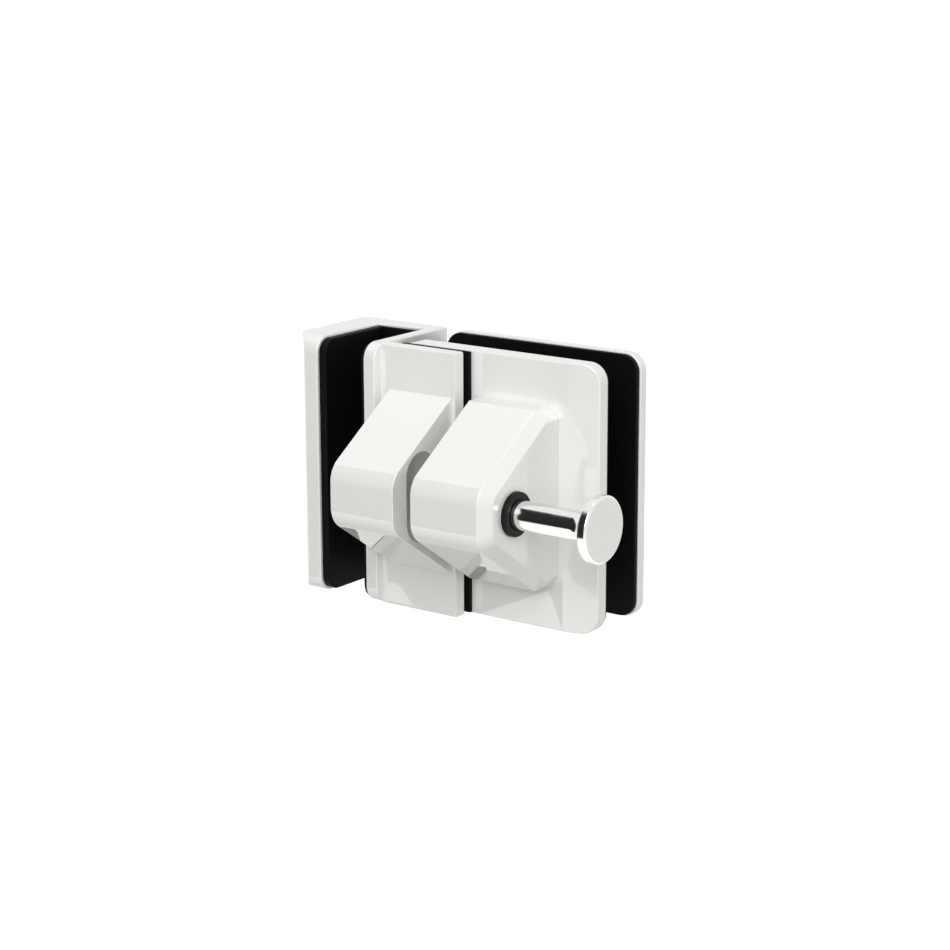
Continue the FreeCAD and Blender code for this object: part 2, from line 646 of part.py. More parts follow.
def strike_housing():
    """Hollow housing on the strike plate, with the slotted pocket that takes the bolt."""
    back = "-strike_plate_thickness"
    body, _ = case_blank("strike_housing", back, "strike_housing_left", "strike_housing_length")
    hollow = Sketch(body, "YZ_Plane", "strike_housing_left + housing_wall")
    hollow.outline((
        (f"{OVERCUT} - strike_plate_thickness", "strike_inner_half"),
        (back, "strike_inner_half"),
        ("-inner_front", "inner_front_half"),
        ("-inner_front", "-inner_front_half"),
        (back, "-strike_inner_half"),
        (f"{OVERCUT} - strike_plate_thickness", "-strike_inner_half"),
    ))
    cut(body, hollow, "strike_housing_length - 2 * housing_wall", along_normal=True)
    pocket = Sketch(body, "YZ_Plane", "strike_housing_end - housing_wall / 2")
    pocket.upright_slot("-bolt_axis_depth", "strike_slot_width + 2 * strike_pocket_wall",
                        "strike_slot_height + 2 * strike_pocket_wall")
    pad(body, pocket, "strike_slot_depth + strike_pocket_wall - housing_wall / 2",
        against_normal=True)
    slot = Sketch(body, "YZ_Plane", "strike_housing_end")
    slot.upright_slot("-bolt_axis_depth", "strike_slot_width", "strike_slot_height")
    cut(body, slot, "strike_slot_depth")
    add_bosses(body, back, ("strike_boss_left", "strike_boss_right"), "strike_boss_height")
    return finish_piece(body, "strike_housing")


def latch_housing():
    """Hollow housing on the front plate, with ribs that guide the bolt's carriage."""
    back = "front_plate_face"
    body, rounded = case_blank("latch_housing", back, "latch_housing_start", "latch_housing_length")
    rim = []
    for index, edge in enumerate(rounded.Shape.Edges, start=1):
        ends = [vertex.Point for vertex in edge.Vertexes]
        at_end = all(near(p.x, "latch_housing_end") for p in ends)
        at_back = all(near(p.y, back) for p in ends)
        if at_end and not at_back:
            rim.append(f"Edge{index}")
    dress(body, "Chamfer", rounded, rim, Size="end_chamfer")
    bays = Sketch(body, "YZ_Plane", "latch_inner_left")
    mouth = f"{back} + {OVERCUT}"
    bays.outline((
        (mouth, "rib_inside"), ("-rib_depth", "rib_inside"), ("-inner_front", "inner_front_half"),
        ("-inner_front", "-inner_front_half"), ("-rib_depth", "-rib_inside"), (mouth, "-rib_inside"),
    ))
    for sign in ("", "-"):
        bays.outline((
            (mouth, f"{sign}latch_inner_half"), ("-crease_depth", f"{sign}latch_inner_half"),
            ("-bay_depth", f"{sign}rib_outside"), (mouth, f"{sign}rib_outside"),
        ))
    cut(body, bays, "latch_inner_right - latch_inner_left", along_normal=True)
    for plane, diameter, forward in (("latch_housing_start", "nose_bush_diameter", True),
                                     ("latch_housing_end", "bush_diameter", False)):
        bore = Sketch(body, "YZ_Plane", plane)
        bore.circle("-bolt_axis_depth", "0", f"{diameter} / 2 + fitted_clearance")
        cut(body, bore, f"housing_wall + {OVERCUT}", along_normal=forward)
    add_bosses(body, back, ("latch_boss_left", "latch_boss_right"), "latch_boss_height")
    return finish_piece(body, "latch_housing")


def case_screws(label, columns, boss_height, head_plane, plate):
    """Countersunk screws from behind a plate into the bosses of its housing."""
    index = 0
    for column in columns:
        for height in both_ways(f"2 * {boss_height}"):
            index += 1
            name = f"{label}_{index}"
            shank = "case_screw_diameter / 2"
            length = f"({plate} + case_screw_bite)"
            body = turned(name, (
                ("0", "0"),
                ("0", "case_head_diameter / 2"),
                (f"{shank} - case_head_diameter / 2", shank),
                (f"thread_lead - {length}", shank),
                (f"-{length}", f"{shank} - thread_lead"),
                (f"-{length}", "0"),
            ))
            socket = Sketch(body, "YZ_Plane").hexagon("0", "0", "case_socket")
            cut(body, socket, "case_socket / 2")
            finish_piece(body, name, x=f"shift_x + {column}", y=f"shift_y + {head_plane}", z=height,
                         rotation=FreeCAD.Rotation(FreeCAD.Vector(0, 0, 1), 90))


def front_plate():
    """Front plate of the gate's clamp, tapered towards its free edge."""
    body = new_body("front_plate")
    plan = Sketch(body, "XY_Plane").outline((
        ("gate_plate_left", "front_plate_face"),
        ("gate_plate_end - front_plate_taper", "front_plate_face"),
        ("gate_plate_end", "front_plate_back - front_plate_edge"),
        ("gate_plate_end", "front_plate_back"),
        ("gate_plate_left", "front_plate_back"),
    ))
    slab = pad(body, plan, "plate_height", symmetric=True)
    corners = edges_along(
        slab, "y", lambda p: near(p.x, "gate_plate_left") or near(p.x, "gate_plate_end"))
    dress(body, "Fillet", slab, corners, Radius="plate_corner_radius")
    threads = Sketch(body, "XZ_Plane", "-front_plate_back")
    for height in both_ways("clamp_screw_spread"):
        threads.circle("clamp_screw_place", height, "clamp_screw_diameter / 2 + running_clearance")
    cut(body, threads, f"front_plate_thickness + {OVERCUT}", along_normal=True)
    holes = Sketch(body, "XZ_Plane", "-front_plate_back")
    for place in ("latch_boss_left", "latch_boss_right"):
        for height in both_ways("2 * latch_boss_height"):
            holes.circle(place, height, "case_screw_diameter / 2")
    countersunk_holes(body, holes)
    return finish_piece(body, "front_plate")


def drilled_sheet(name, face, thickness, inset, hole_radius):
    """Make a sheet of the gate's clamp, with a hole for each clamp screw or sleeve."""
    body = upright_sheet(name, f"gate_plate_left + {inset}", f"gate_plate_end - {inset}", face,
                         thickness, f"half_height - {inset}", f"plate_corner_radius - {inset}")
    holes = Sketch(body, "XZ_Plane", f"-({face})")
    for height in both_ways("clamp_screw_spread"):
        holes.circle("clamp_screw_place", height, hole_radius)
    cut(body, holes, thickness)
    return finish_piece(body, name)


def stop_pad():
    """Rubber strip on the front plate that meets the strike plate, with a thin free edge."""
    body = new_body("stop_pad")
    near_end = "gate_plate_left + plate_corner_radius / 4"
    plan = Sketch(body, "XY_Plane").outline((
        (near_end, "front_plate_face"),
        (near_end, "stop_pad_clearance"),
        ("-stop_pad_step", "stop_pad_clearance"),
        ("-stop_pad_step", "front_plate_face - stop_pad_lip"),
        ("stop_pad_overhang", "front_plate_face - stop_pad_lip"),
        ("stop_pad_overhang", "front_plate_face"),
    ))
    pad(body, plan, "plate_height - 2 * stop_pad_inset", symmetric=True)
    return finish_piece(body, "stop_pad")


def ring(name, bore, outside, length, y, z):
    """Make a plain ring whose axis runs from the knob side to the back."""
    body = turned(name, (("0", bore), ("0", outside), (length, outside), (length, bore)))
    return finish_piece(body, name, x="shift_x + clamp_screw_place", y=y, z=z,
                        rotation=FreeCAD.Rotation(FreeCAD.Vector(0, 0, 1), 90))


def clamp_hardware():
    """Sleeves, washers and button-head screws of the gate's clamp."""
    shank = "clamp_screw_diameter / 2"
    seat = "back_plate_back + clamp_washer_thickness"
    length = f"({seat} - front_plate_face + clamp_screw_tip)"
    for index, height in enumerate(both_ways("clamp_screw_spread"), start=1):
        ring(f"glass_sleeve_{index}", f"{shank} + seat_clearance", "sleeve_diameter / 2",
             "sleeve_length", "shift_y + front_plate_back", height)
        ring(f"clamp_washer_{index}", f"{shank} + seat_clearance", "clamp_washer_diameter / 2",
             "clamp_washer_thickness", "shift_y + back_plate_back", height)
        name = f"clamp_screw_{index}"
        body = turned(name, (
            (f"-{length}", "0"),
            (f"-{length}", f"{shank} - thread_lead"),
            (f"thread_lead - {length}", shank),
            ("0", shank),
            ("0", "clamp_head_diameter / 2"),
            ("clamp_head_height / 3", "clamp_head_diameter / 2"),
            ("clamp_head_height", "clamp_head_diameter / 3"),
            ("clamp_head_height", "0"),
        ))
        socket = Sketch(body, "YZ_Plane", "clamp_head_height").hexagon("0", "0", "clamp_socket")
        cut(body, socket, "clamp_socket / 2")
        finish_piece(body, name, x="shift_x + clamp_screw_place", y=f"shift_y + {seat}", z=height,
                     rotation=FreeCAD.Rotation(FreeCAD.Vector(0, 0, 1), 90))


def latch_bolt():
    """Bolt with a sloped nose and the square carriage that keeps the slope facing the strike."""
    body = new_body("latch_bolt")
    nose = Sketch(body, "YZ_Plane", "bolt_tip").circle("0", "0", "bolt_diameter / 2")
    pad(body, nose, "carriage_left - bolt_tip")
    square = Sketch(body, "YZ_Plane", "carriage_left")
    square.rectangle("-carriage_side / 2", "carriage_side / 2", "-carriage_side / 2", "carriage_side / 2")
    block = pad(body, square, "carriage_length")
    corners = edges_along(block, "x", lambda p: near(abs(p.y), "carriage_side / 2"))
    dress(body, "Chamfer", block, corners, Size="carriage_corner")
    seat = Sketch(body, "YZ_Plane", "carriage_right")
    seat.circle("0", "0", "spring_outside / 2 + seat_clearance")
    cut(body, seat, "carriage_right - spring_left")
    thread = Sketch(body, "YZ_Plane", "spring_left")
    thread.circle("0", "0", "thread_diameter / 2 + fitted_clearance")
    cut(body, thread, "thread_length + seat_clearance")
    slope = Sketch(body, "XY_Plane").outline((
        (f"bolt_tip - {OVERCUT}", "bolt_diameter / 2 - bolt_tip_flat"),
        ("bolt_tip", "bolt_diameter / 2 - bolt_tip_flat"),
        ("bolt_tip + bolt_bevel_run", "-bolt_diameter / 2"),
        ("bolt_tip + bolt_bevel_run", f"-bolt_diameter / 2 - {OVERCUT}"),
        (f"bolt_tip - {OVERCUT}", f"-bolt_diameter / 2 - {OVERCUT}"),
    ))
    cut(body, slope, f"bolt_diameter + {OVERCUT}", symmetric=True)
    drill_cross_hole(body)
    return finish_piece(body, "latch_bolt", y="axis_shift_y")


def drill_cross_hole(body):
    """Drill the hole for the cross pin."""
    hole = Sketch(body, "XY_Plane")
    hole.circle("cross_pin_place", "0", "cross_pin_diameter / 2 + fitted_clearance")
    cut(body, hole, f"bolt_diameter + {OVERCUT}", symmetric=True)


def cross_pin():
    """Pin across the bolt that locks the pull pin's thread."""
    end = "cross_pin_length / 2"
    radius = "cross_pin_diameter / 2"
    body = turned("cross_pin", (
        (f"-{end}", "0"),
        (f"-{end}", f"{radius} - pin_end_bevel"),
        (f"pin_end_bevel - {end}", radius),
        (f"{end} - pin_end_bevel", radius),
        (end, f"{radius} - pin_end_bevel"),
        (end, "0"),
    ))
    return finish_piece(body, "cross_pin", x="shift_x + cross_pin_place", y="axis_shift_y",
                        rotation=FreeCAD.Rotation(FreeCAD.Vector(0, 1, 0), 90))


def pull_pin():
    """Polished pin that joins the knob to the bolt."""
    body = turned("pull_pin", (
        ("spring_left - thread_length", "0"),
        ("spring_left - thread_length", "thread_diameter / 2"),
        ("spring_left", "thread_diameter / 2"),
        ("spring_left", "bolt_diameter / 2"),
        ("neck_left", "bolt_diameter / 2"),
        ("neck_left", "knob_tenon_diameter / 2"),
        ("tenon_right", "knob_tenon_diameter / 2"),
        ("tenon_right", "0"),
    ))
    drill_cross_hole(body)
    return finish_piece(body, "pull_pin", y="axis_shift_y")


def knob():
    """Disc knob with a flared neck, bored for the pull pin's end."""
    rim = "knob_diameter / 2"
    body = turned(
        "knob",
        (
            ("tenon_right + seat_clearance", "0"),
            ("tenon_right + seat_clearance", "knob_tenon_diameter / 2 + fitted_clearance"),
            ("neck_left", "knob_tenon_diameter / 2 + fitted_clearance"),
            ("neck_left", "bolt_diameter / 2"),
            ("knob_back", "knob_neck_diameter / 2"),
            ("knob_back", f"{rim} - knob_rim_bevel"),
            ("knob_back + knob_rim_bevel", rim),
            ("knob_face - knob_rim_bevel", rim),
            ("knob_face", f"{rim} - knob_rim_bevel"),
            ("knob_face", "0"),
        ),
        {3: ("neck_left", "bolt_diameter / 2 + flare_radius", "flare_radius")})
    return finish_piece(body, "knob", y="axis_shift_y")


def bushes():
    """Plastic bushes that guide the bolt's nose and the pull pin."""
    bore = "bolt_diameter / 2 + running_clearance"
    nose = turned("nose_bush", (
        ("latch_housing_start", bore),
        ("latch_housing_start", "nose_bush_diameter / 2"),
        ("latch_inner_left", "nose_bush_diameter / 2"),
        ("latch_inner_left", "bush_flange / 2"),
        ("flange_right", "bush_flange / 2"),
        ("flange_right", bore),
    ))
    finish_piece(nose, "nose_bush", y="axis_shift_y")
    seat = "spring_outside / 2 + seat_clearance"
    pin_bush = turned("pin_bush", (
        ("bush_left", seat),
        ("bush_left", "bush_flange / 2"),
        ("latch_inner_right", "bush_flange / 2"),
        ("latch_inner_right", "bush_diameter / 2"),
        ("bush_right - bush_bevel", "bush_diameter / 2"),
        ("bush_right", "bush_diameter / 2 - bush_bevel"),
        ("bush_right", bore),
        ("spring_right", bore),
        ("spring_right", seat),
    ))
    finish_piece(pin_bush, "pin_bush", y="axis_shift_y")


def tangent_arc(start, tangent, end):
    """Return the arc that leaves a point along a tangent and ends at another point."""
    chord = end - start
    side = chord - tangent * chord.dot(tangent)
    side.normalize()
    radius = chord.dot(chord) / (2 * chord.dot(side))
    centre = start + side * radius
    middle = (start + end) * 0.5 - centre
    middle.normalize()
    return Part.Arc(start, centre + middle * radius, end).toShape()


def arc_pair(start, leaving, end, arriving):
    """Return two tangent arcs that join two points along their own tangents."""
    chord = end - start
    tangents = leaving + arriving
    spread = 2 * (1 - leaving.dot(arriving))
    along = chord.dot(tangents)
    reach = (math.sqrt(along * along + spread * chord.dot(chord)) - along) / spread
    near_end = start + leaving * reach
    far_end = end - arriving * reach
    middle_tangent = far_end - near_end
    middle_tangent.normalize()
    middle = (near_end + far_end) * 0.5
    return [tangent_arc(start, leaving, middle), tangent_arc(middle, middle_tangent, end)]


def bolt_spring():
    """Compression spring between the bolt's carriage and the knob-end bush.

    Its wire follows the helix on tangent arcs, a pair for each half turn.
    """
    wire = number("spring_wire")
    radius = (number("spring_outside") - wire) / 2
    rise = number("spring_right - spring_left") - wire - PLACE_GAP
    half_turns = round(2 * number("spring_turns"))
    lift = rise / (half_turns * math.pi)

    def point(angle):
        return FreeCAD.Vector(lift * angle, -radius * math.sin(angle), radius * math.cos(angle))

    def tangent(angle):
        direction = FreeCAD.Vector(lift, -radius * math.cos(angle), -radius * math.sin(angle))
        direction.normalize()
        return direction

    edges = []
    for half_turn in range(half_turns):
        angles = (math.pi * half_turn, math.pi * (half_turn + 1))
        edges += arc_pair(point(angles[0]), tangent(angles[0]), point(angles[1]), tangent(angles[1]))
    section = Part.Wire([Part.Circle(point(0), tangent(0), wire / 2).toShape()])
    spring = document.addObject("Part::Feature", "bolt_spring")
    spring.Shape = Part.Wire(edges).makePipeShell([section], True, False)
    return finish_piece(spring, "bolt_spring", y="axis_shift_y",
                        x=f"shift_x + spring_left + (spring_wire + {PLACE_GAP}) / 2")


def build():
    """Build every piece."""
    fill_sheets()
    channel_body()
    channel_pad("channel_pad_outer", "outer_pad_left", "outer_pad_thickness")
    channel_pad("channel_pad_inner", "inner_pad_left", "channel_pad_thickness")
    channel_web_pad()
    press_plate()
    set_screws()
    strike_housing()
    case_screws("strike_screw", ("strike_boss_left", "strike_boss_right"), "strike_boss_height",
                "0", "strike_plate_thickness")
    front_plate()
    drilled_sheet("front_gasket", "front_plate_back", "front_gasket_thickness", "gasket_inset",
                  "sleeve_diameter / 2 + fitted_clearance")
    stop_pad()
    latch_housing()
    case_screws("housing_screw", ("latch_boss_left", "latch_boss_right"), "latch_boss_height",
                "front_plate_back", "front_plate_thickness")
    bushes()
    latch_bolt()
    cross_pin()
    bolt_spring()
    pull_pin()
    knob()
    drilled_sheet("back_gasket", "back_gasket_face", "back_gasket_thickness", "gasket_inset",
                  "clamp_screw_diameter / 2 + seat_clearance")
    drilled_sheet("back_plate", "back_plate_face", "back_plate_thickness", "0",
                  "clamp_screw_diameter / 2 + seat_clearance")
    clamp_hardware()


def check_pieces():
    """Stop at any object that failed and any piece whose shape is not sound."""
    for item in document.Objects:
        if "Invalid" in item.State or "Error" in item.State:
            raise RuntimeError(item.Name + ": " + ", ".join(item.State))
    names = [piece.Label for piece in pieces]
    if len(set(names)) != len(names):
        raise RuntimeError("a piece's name is used twice")
    for piece in pieces:
        shape = piece.Shape
        if shape.isNull() or not shape.isValid() or not shape.Solids or shape.Volume <= 0:
            raise RuntimeError(piece.Label + ": its shape is not a sound solid")


def write_pieces():
    """Write one STEP file for each piece."""
    os.makedirs("parts", exist_ok=True)
    for piece in pieces:
        piece.Shape.exportStep(os.path.join("parts", piece.Label + ".step"))
        box = piece.Shape.BoundBox
        print(f"{piece.Label:20s} {len(piece.Shape.Solids)} solid  {piece.Shape.Volume:10.1f} mm3"
              f"  {box.XLength:6.1f} x {box.YLength:5.1f} x {box.ZLength:5.1f}")


build()
document.recompute()
check_pieces()
write_pieces()
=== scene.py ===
"""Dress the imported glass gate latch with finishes, round edges and a studio.

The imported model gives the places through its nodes' boxes. Lengths are in metres.
"""

import json
import logging
import math
from abc import ABC, abstractmethod
from dataclasses import dataclass
from enum import Enum
from typing import Any, Callable, Sequence, Union

import bmesh
import bpy
from bmesh.types import BMesh, BMVert
from bpy.types import ID, Material, Object
from mathutils import Matrix, Vector
from mathutils.bvhtree import BVHTree

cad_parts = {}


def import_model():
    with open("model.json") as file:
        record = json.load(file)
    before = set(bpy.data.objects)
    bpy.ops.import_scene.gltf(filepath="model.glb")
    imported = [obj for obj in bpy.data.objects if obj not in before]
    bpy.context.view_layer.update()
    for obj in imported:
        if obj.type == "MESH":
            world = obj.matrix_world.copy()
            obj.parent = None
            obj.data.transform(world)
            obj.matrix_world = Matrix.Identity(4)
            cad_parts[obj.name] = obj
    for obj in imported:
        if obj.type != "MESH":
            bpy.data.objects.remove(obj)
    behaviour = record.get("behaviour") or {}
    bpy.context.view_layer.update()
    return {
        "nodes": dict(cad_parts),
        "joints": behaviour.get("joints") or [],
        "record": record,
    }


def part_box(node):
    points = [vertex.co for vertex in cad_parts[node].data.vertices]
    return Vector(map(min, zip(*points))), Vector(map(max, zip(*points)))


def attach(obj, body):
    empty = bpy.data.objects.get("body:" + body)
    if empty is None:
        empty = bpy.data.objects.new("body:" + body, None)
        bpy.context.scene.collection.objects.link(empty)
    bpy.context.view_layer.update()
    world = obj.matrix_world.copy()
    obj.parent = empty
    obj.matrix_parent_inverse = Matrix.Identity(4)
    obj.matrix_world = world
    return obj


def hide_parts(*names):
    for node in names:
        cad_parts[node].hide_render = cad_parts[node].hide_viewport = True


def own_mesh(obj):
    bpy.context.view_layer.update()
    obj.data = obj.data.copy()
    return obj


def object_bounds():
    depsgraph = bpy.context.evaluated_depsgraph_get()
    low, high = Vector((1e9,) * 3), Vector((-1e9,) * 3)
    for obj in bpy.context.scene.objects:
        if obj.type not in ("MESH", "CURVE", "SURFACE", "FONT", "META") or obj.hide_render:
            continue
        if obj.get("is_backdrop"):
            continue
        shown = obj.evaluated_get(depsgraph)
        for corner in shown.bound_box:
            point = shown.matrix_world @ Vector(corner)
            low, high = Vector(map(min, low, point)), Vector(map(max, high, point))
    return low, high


frame: dict[str, Any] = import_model()

MM = 0.001
SAME_PLACE = 1e-6
ON_SURFACE = 2e-5
SAME_SIDE = math.cos(math.radians(20))
LOG = logging.getLogger("latch")

BODY_OF: dict[str, str] = {
    node: body
    for body, nodes in frame["record"]["behaviour"]["bodies"].items()
    for node in nodes
}

Value = Union["Signal", float, int, Sequence[float], ID]
Sockets = dict[str | int, Value]
Triple = tuple[float, float, float]
Colour = tuple[float, float, float, float]
EdgeTest = Callable[[Vector], bool]


class Section(Enum):
    """The shapes that a turned outline can have at one of its corners."""

    ROUND = "round"
    HEXAGON = "hexagon"


class Pointing(Enum):
    """The directions along which pieces are turned, with the two directions across."""

    GATEWARDS = (Vector((1, 0, 0)), Vector((0, 1, 0)), Vector((0, 0, 1)))
    BACKWARDS = (Vector((0, 1, 0)), Vector((1, 0, 0)), Vector((0, 0, 1)))
    FORWARDS = (Vector((0, -1, 0)), Vector((1, 0, 0)), Vector((0, 0, 1)))


@dataclass(frozen=True)
class Box:
    """The box round a CAD node at rest."""

    low: Vector
    high: Vector

    @classmethod
    def of(cls, node: str) -> "Box":
        """Take the box round this CAD node."""
        low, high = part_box(node)
        return cls(Vector(low), Vector(high))

    @property
    def middle(self) -> Vector:
        """Give the box's centre."""
        return (self.low + self.high) / 2

    @property
    def size(self) -> Vector:
        """Give the box's lengths."""
        return self.high - self.low

    def holds(self, point: Vector, margin: float) -> bool:
        """Say whether a point is in the box or within a margin of it."""
        return all(
            self.low[i] - margin <= point[i] <= self.high[i] + margin for i in range(3)
        )


def numbered(stem: str, count: int) -> list[str]:
    """Give the names of the CAD nodes of one kind, counted from 1."""
    return [f"{stem}_{i}" for i in range(1, count + 1)]


def hand_over(piece: Object, *nodes: str) -> None:
    """Let a finished piece stand for CAD nodes.

    Args:
        piece: The finished mesh, in place.
        nodes: The CAD nodes that it replaces, all on one body.
    """
    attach(piece, BODY_OF[nodes[0]])
    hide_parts(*nodes)
    LOG.info("%s stands for %s", piece.name, ", ".join(nodes))


# Node sheets for materials, the world and geometry trees


class Signal:
    """A node's output that Python's operators work on."""

    def __init__(self, sheet: "NodeSheet", socket: bpy.types.NodeSocket) -> None:
        """Keep the socket and the sheet that it is on."""
        self.sheet = sheet
        self.socket = socket

    def __add__(self, other: Value) -> "Signal":
        """Add another value, on either side."""
        return self.sheet.maths("ADD", self, other)

    def __mul__(self, other: Value) -> "Signal":
        """Multiply by another value, on either side."""
        return self.sheet.maths("MULTIPLY", self, other)

    __radd__ = __add__
    __rmul__ = __mul__


class NodeSheet:
    """One tree of nodes, written as calls and expressions."""

    def __init__(self, tree: bpy.types.NodeTree) -> None:
        """Start with an empty tree."""
        self.tree = tree
        tree.nodes.clear()

    def node(
        self,
        kind: str,
        sockets: Sockets | None = None,
        output: str | int = 0,
        **settings: Any,
    ) -> Signal:
        """Add a node.

        Args:
            kind: Blender's name for the type of node.
            sockets: Values or signals for its inputs, by name or number.
            output: The output to use, by name or number.
            settings: Its properties; stops gives a ramp's places and colours.

        Returns:
            That output, or the first one.
        """
        made = self.tree.nodes.new(kind)
        for name, value in settings.items():
            if name == "stops":
                self.set_stops(made.color_ramp, value)
            else:
                setattr(made, name, value)
        for name, value in (sockets or {}).items():
            if isinstance(value, Signal):
                self.tree.links.new(value.socket, made.inputs[name])
            else:
                made.inputs[name].default_value = value
        return Signal(self, made.outputs[output] if made.outputs else None)

    @staticmethod
    def set_stops(ramp: bpy.types.ColorRamp, stops: Sequence[tuple]) -> None:
        """Give a ramp its places and colours, two or more."""
        while len(ramp.elements) < len(stops):
            ramp.elements.new(1.0)
        for element, (place, colour) in zip(ramp.elements, stops):
            element.position = place
            element.color = colour

    def maths(self, operation: str, *values: Value) -> Signal:
        """Add a Math node for one operation."""
        sockets = dict(enumerate(values))
        return self.node("ShaderNodeMath", sockets, operation=operation)

    def vector(
        self, operation: str, sockets: Sockets, output: str = "Vector"
    ) -> Signal:
        """Add a Vector Math node for one operation."""
        return self.node("ShaderNodeVectorMath", sockets, output, operation=operation)

    @staticmethod
    def between(low: float, high: float, share: Signal) -> Signal:
        """Go from one number to another as a signal goes from 0 to 1."""
        return low + (high - low) * share

    def mix(self, factor: Value, first: Value, second: Value) -> Signal:
        """Mix two colours, through the node's colour sockets."""
        sockets = {0: factor, 6: first, 7: second}
        return self.node("ShaderNodeMix", sockets, 2, data_type="RGBA")

    def millimetres(self, stretch: Sequence[float] = (1, 1, 1)) -> Signal:
        """Give the Object coordinates in millimetres, times a stretch for each axis."""
        place = self.node("ShaderNodeTexCoord", output="Object")
        factors = tuple(s / MM for s in stretch)
        return self.vector("MULTIPLY", {0: place, 1: factors})

    def noise(self, place: Signal, size: float, detail: float = 2.0) -> Signal:
        """Add noise whose clouds are about this many millimetres wide."""
        sockets = {"Vector": place, "Scale": 1 / size, "Detail": detail}
        return self.node("ShaderNodeTexNoise", sockets)

    def bump(self, height: Signal, depth: float) -> Signal:
        """Turn a height from 0 to 1 into a bump of this depth in metres."""
        sockets = {"Strength": 1.0, "Distance": depth, "Height": height}
        return self.node("ShaderNodeBump", sockets)


def new_material(name: str, surface: Callable[[NodeSheet], Signal]) -> Material:
    """Make a material.

    Args:
        name: The material's name.
        surface: A function that adds nodes to a sheet and gives the shader.

    Returns:
        The material.
    """
    material = bpy.data.materials.new(name)
    material.use_nodes = True
    sheet = NodeSheet(material.node_tree)
    sheet.node("ShaderNodeOutputMaterial", {"Surface": surface(sheet)})
    return material


# Finishes


@dataclass(frozen=True)
class Finish(ABC):
    """The look of one Principled surface."""

    name: str

    @abstractmethod
    def sockets(self, sheet: NodeSheet) -> Sockets:
        """Add nodes to a sheet and give the surface's sockets."""

    def material(self) -> Material:
        """Make the finish's material."""
        return new_material(
            self.name,
            lambda sheet: sheet.node("ShaderNodeBsdfPrincipled", self.sockets(sheet)),
        )


@dataclass(frozen=True)
class PowderCoat(Finish):
    """Smooth glossy white coat with a faint orange peel."""

    white: Colour = (0.915, 0.908, 0.888, 1)
    shade: Colour = (0.90, 0.892, 0.868, 1)
    cloud_size: float = 22.0
    peel_size: float = 1.5
    grit_size: float = 0.3
    fine_detail: float = 1.0
    peel_depth: float = 0.0000014
    peel_share: float = 0.9
    grit_share: float = 0.1
    smoothest: float = 0.012
    dullest: float = 0.028
    index: float = 1.95

    def sockets(self, sheet: NodeSheet) -> Sockets:
        """Give the coat's sockets."""
        place = sheet.millimetres()
        cloud = sheet.noise(place, self.cloud_size)
        peel = sheet.noise(place, self.peel_size, self.fine_detail)
        grit = sheet.noise(place, self.grit_size, self.fine_detail)
        height = self.peel_share * peel + self.grit_share * grit
        return {
            "Base Color": sheet.mix(cloud, self.white, self.shade),
            "Roughness": sheet.between(self.smoothest, self.dullest, cloud),
            "Normal": sheet.bump(height, self.peel_depth),
            "IOR": self.index,
        }


@dataclass(frozen=True)
class SheetRubber(Finish):
    """Matt black rubber with a fine grain."""

    black: Colour = (0.0022, 0.0022, 0.0024, 1)
    worn: Colour = (0.0045, 0.0045, 0.0048, 1)
    cloud_size: float = 6.0
    grain_size: float = 0.35
    grain_depth: float = 0.000012
    reflection: float = 0.1
    smoothest: float = 0.5
    dullest: float = 0.68

    def sockets(self, sheet: NodeSheet) -> Sockets:
        """Give the rubber's sockets."""
        place = sheet.millimetres()
        cloud = sheet.noise(place, self.cloud_size)
        grain = sheet.noise(place, self.grain_size)
        return {
            "Base Color": sheet.mix(cloud, self.black, self.worn),
            "Roughness": sheet.between(self.smoothest, self.dullest, grain),
            "Normal": sheet.bump(grain, self.grain_depth),
            "Specular IOR Level": self.reflection,
        }


@dataclass(frozen=True)
class MouldedPlastic(Finish):
    """Black plastic with fine rings left by turning, about an axis along X."""

    centre: Vector
    black: Colour = (0.006, 0.006, 0.006, 1)
    grey: Colour = (0.011, 0.011, 0.011, 1)
    ring_pitch: float = 0.16
    ring_depth: float = 0.000003
    grain_size: float = 0.5
    mid_height: float = 0.5
    ring_share: float = 0.3
    grain_share: float = 0.2
    reflection: float = 0.14
    smoothest: float = 0.34
    dullest: float = 0.46

    def sockets(self, sheet: NodeSheet) -> Sockets:
        """Give the plastic's sockets."""
        place = sheet.millimetres()
        grain = sheet.noise(place, self.grain_size)
        centre = tuple(self.centre / MM)
        offset = sheet.vector("SUBTRACT", {0: place, 1: centre})
        across = sheet.vector("MULTIPLY", {0: offset, 1: (0, 1, 1)})
        radius = sheet.vector("LENGTH", {0: across}, "Value")
        rings = sheet.maths("SINE", radius * (math.tau / self.ring_pitch))
        height = self.mid_height + self.ring_share * rings + self.grain_share * grain
        return {
            "Base Color": sheet.mix(grain, self.black, self.grey),
            "Roughness": sheet.between(self.smoothest, self.dullest, grain),
            "Normal": sheet.bump(height, self.ring_depth),
            "Specular IOR Level": self.reflection,
        }


@dataclass(frozen=True)
class LinedSteel(Finish):
    """Stainless steel with fine lines that run one way."""

    stretch: Triple
    bright: Colour = (0.86, 0.855, 0.845, 1)
    dark: Colour = (0.80, 0.795, 0.785, 1)
    line_size: float = 0.12
    line_detail: float = 3.0
    line_depth: float = 0.0000004
    smoothest: float = 0.07
    dullest: float = 0.16

    def sockets(self, sheet: NodeSheet) -> Sockets:
        """Give the steel's sockets."""
        place = sheet.millimetres(self.stretch)
        lines = sheet.noise(place, self.line_size, self.line_detail)
        return {
            "Base Color": sheet.mix(lines, self.dark, self.bright),
            "Metallic": 1.0,
            "Roughness": sheet.between(self.smoothest, self.dullest, lines),
            "Normal": sheet.bump(lines, self.line_depth),
        }


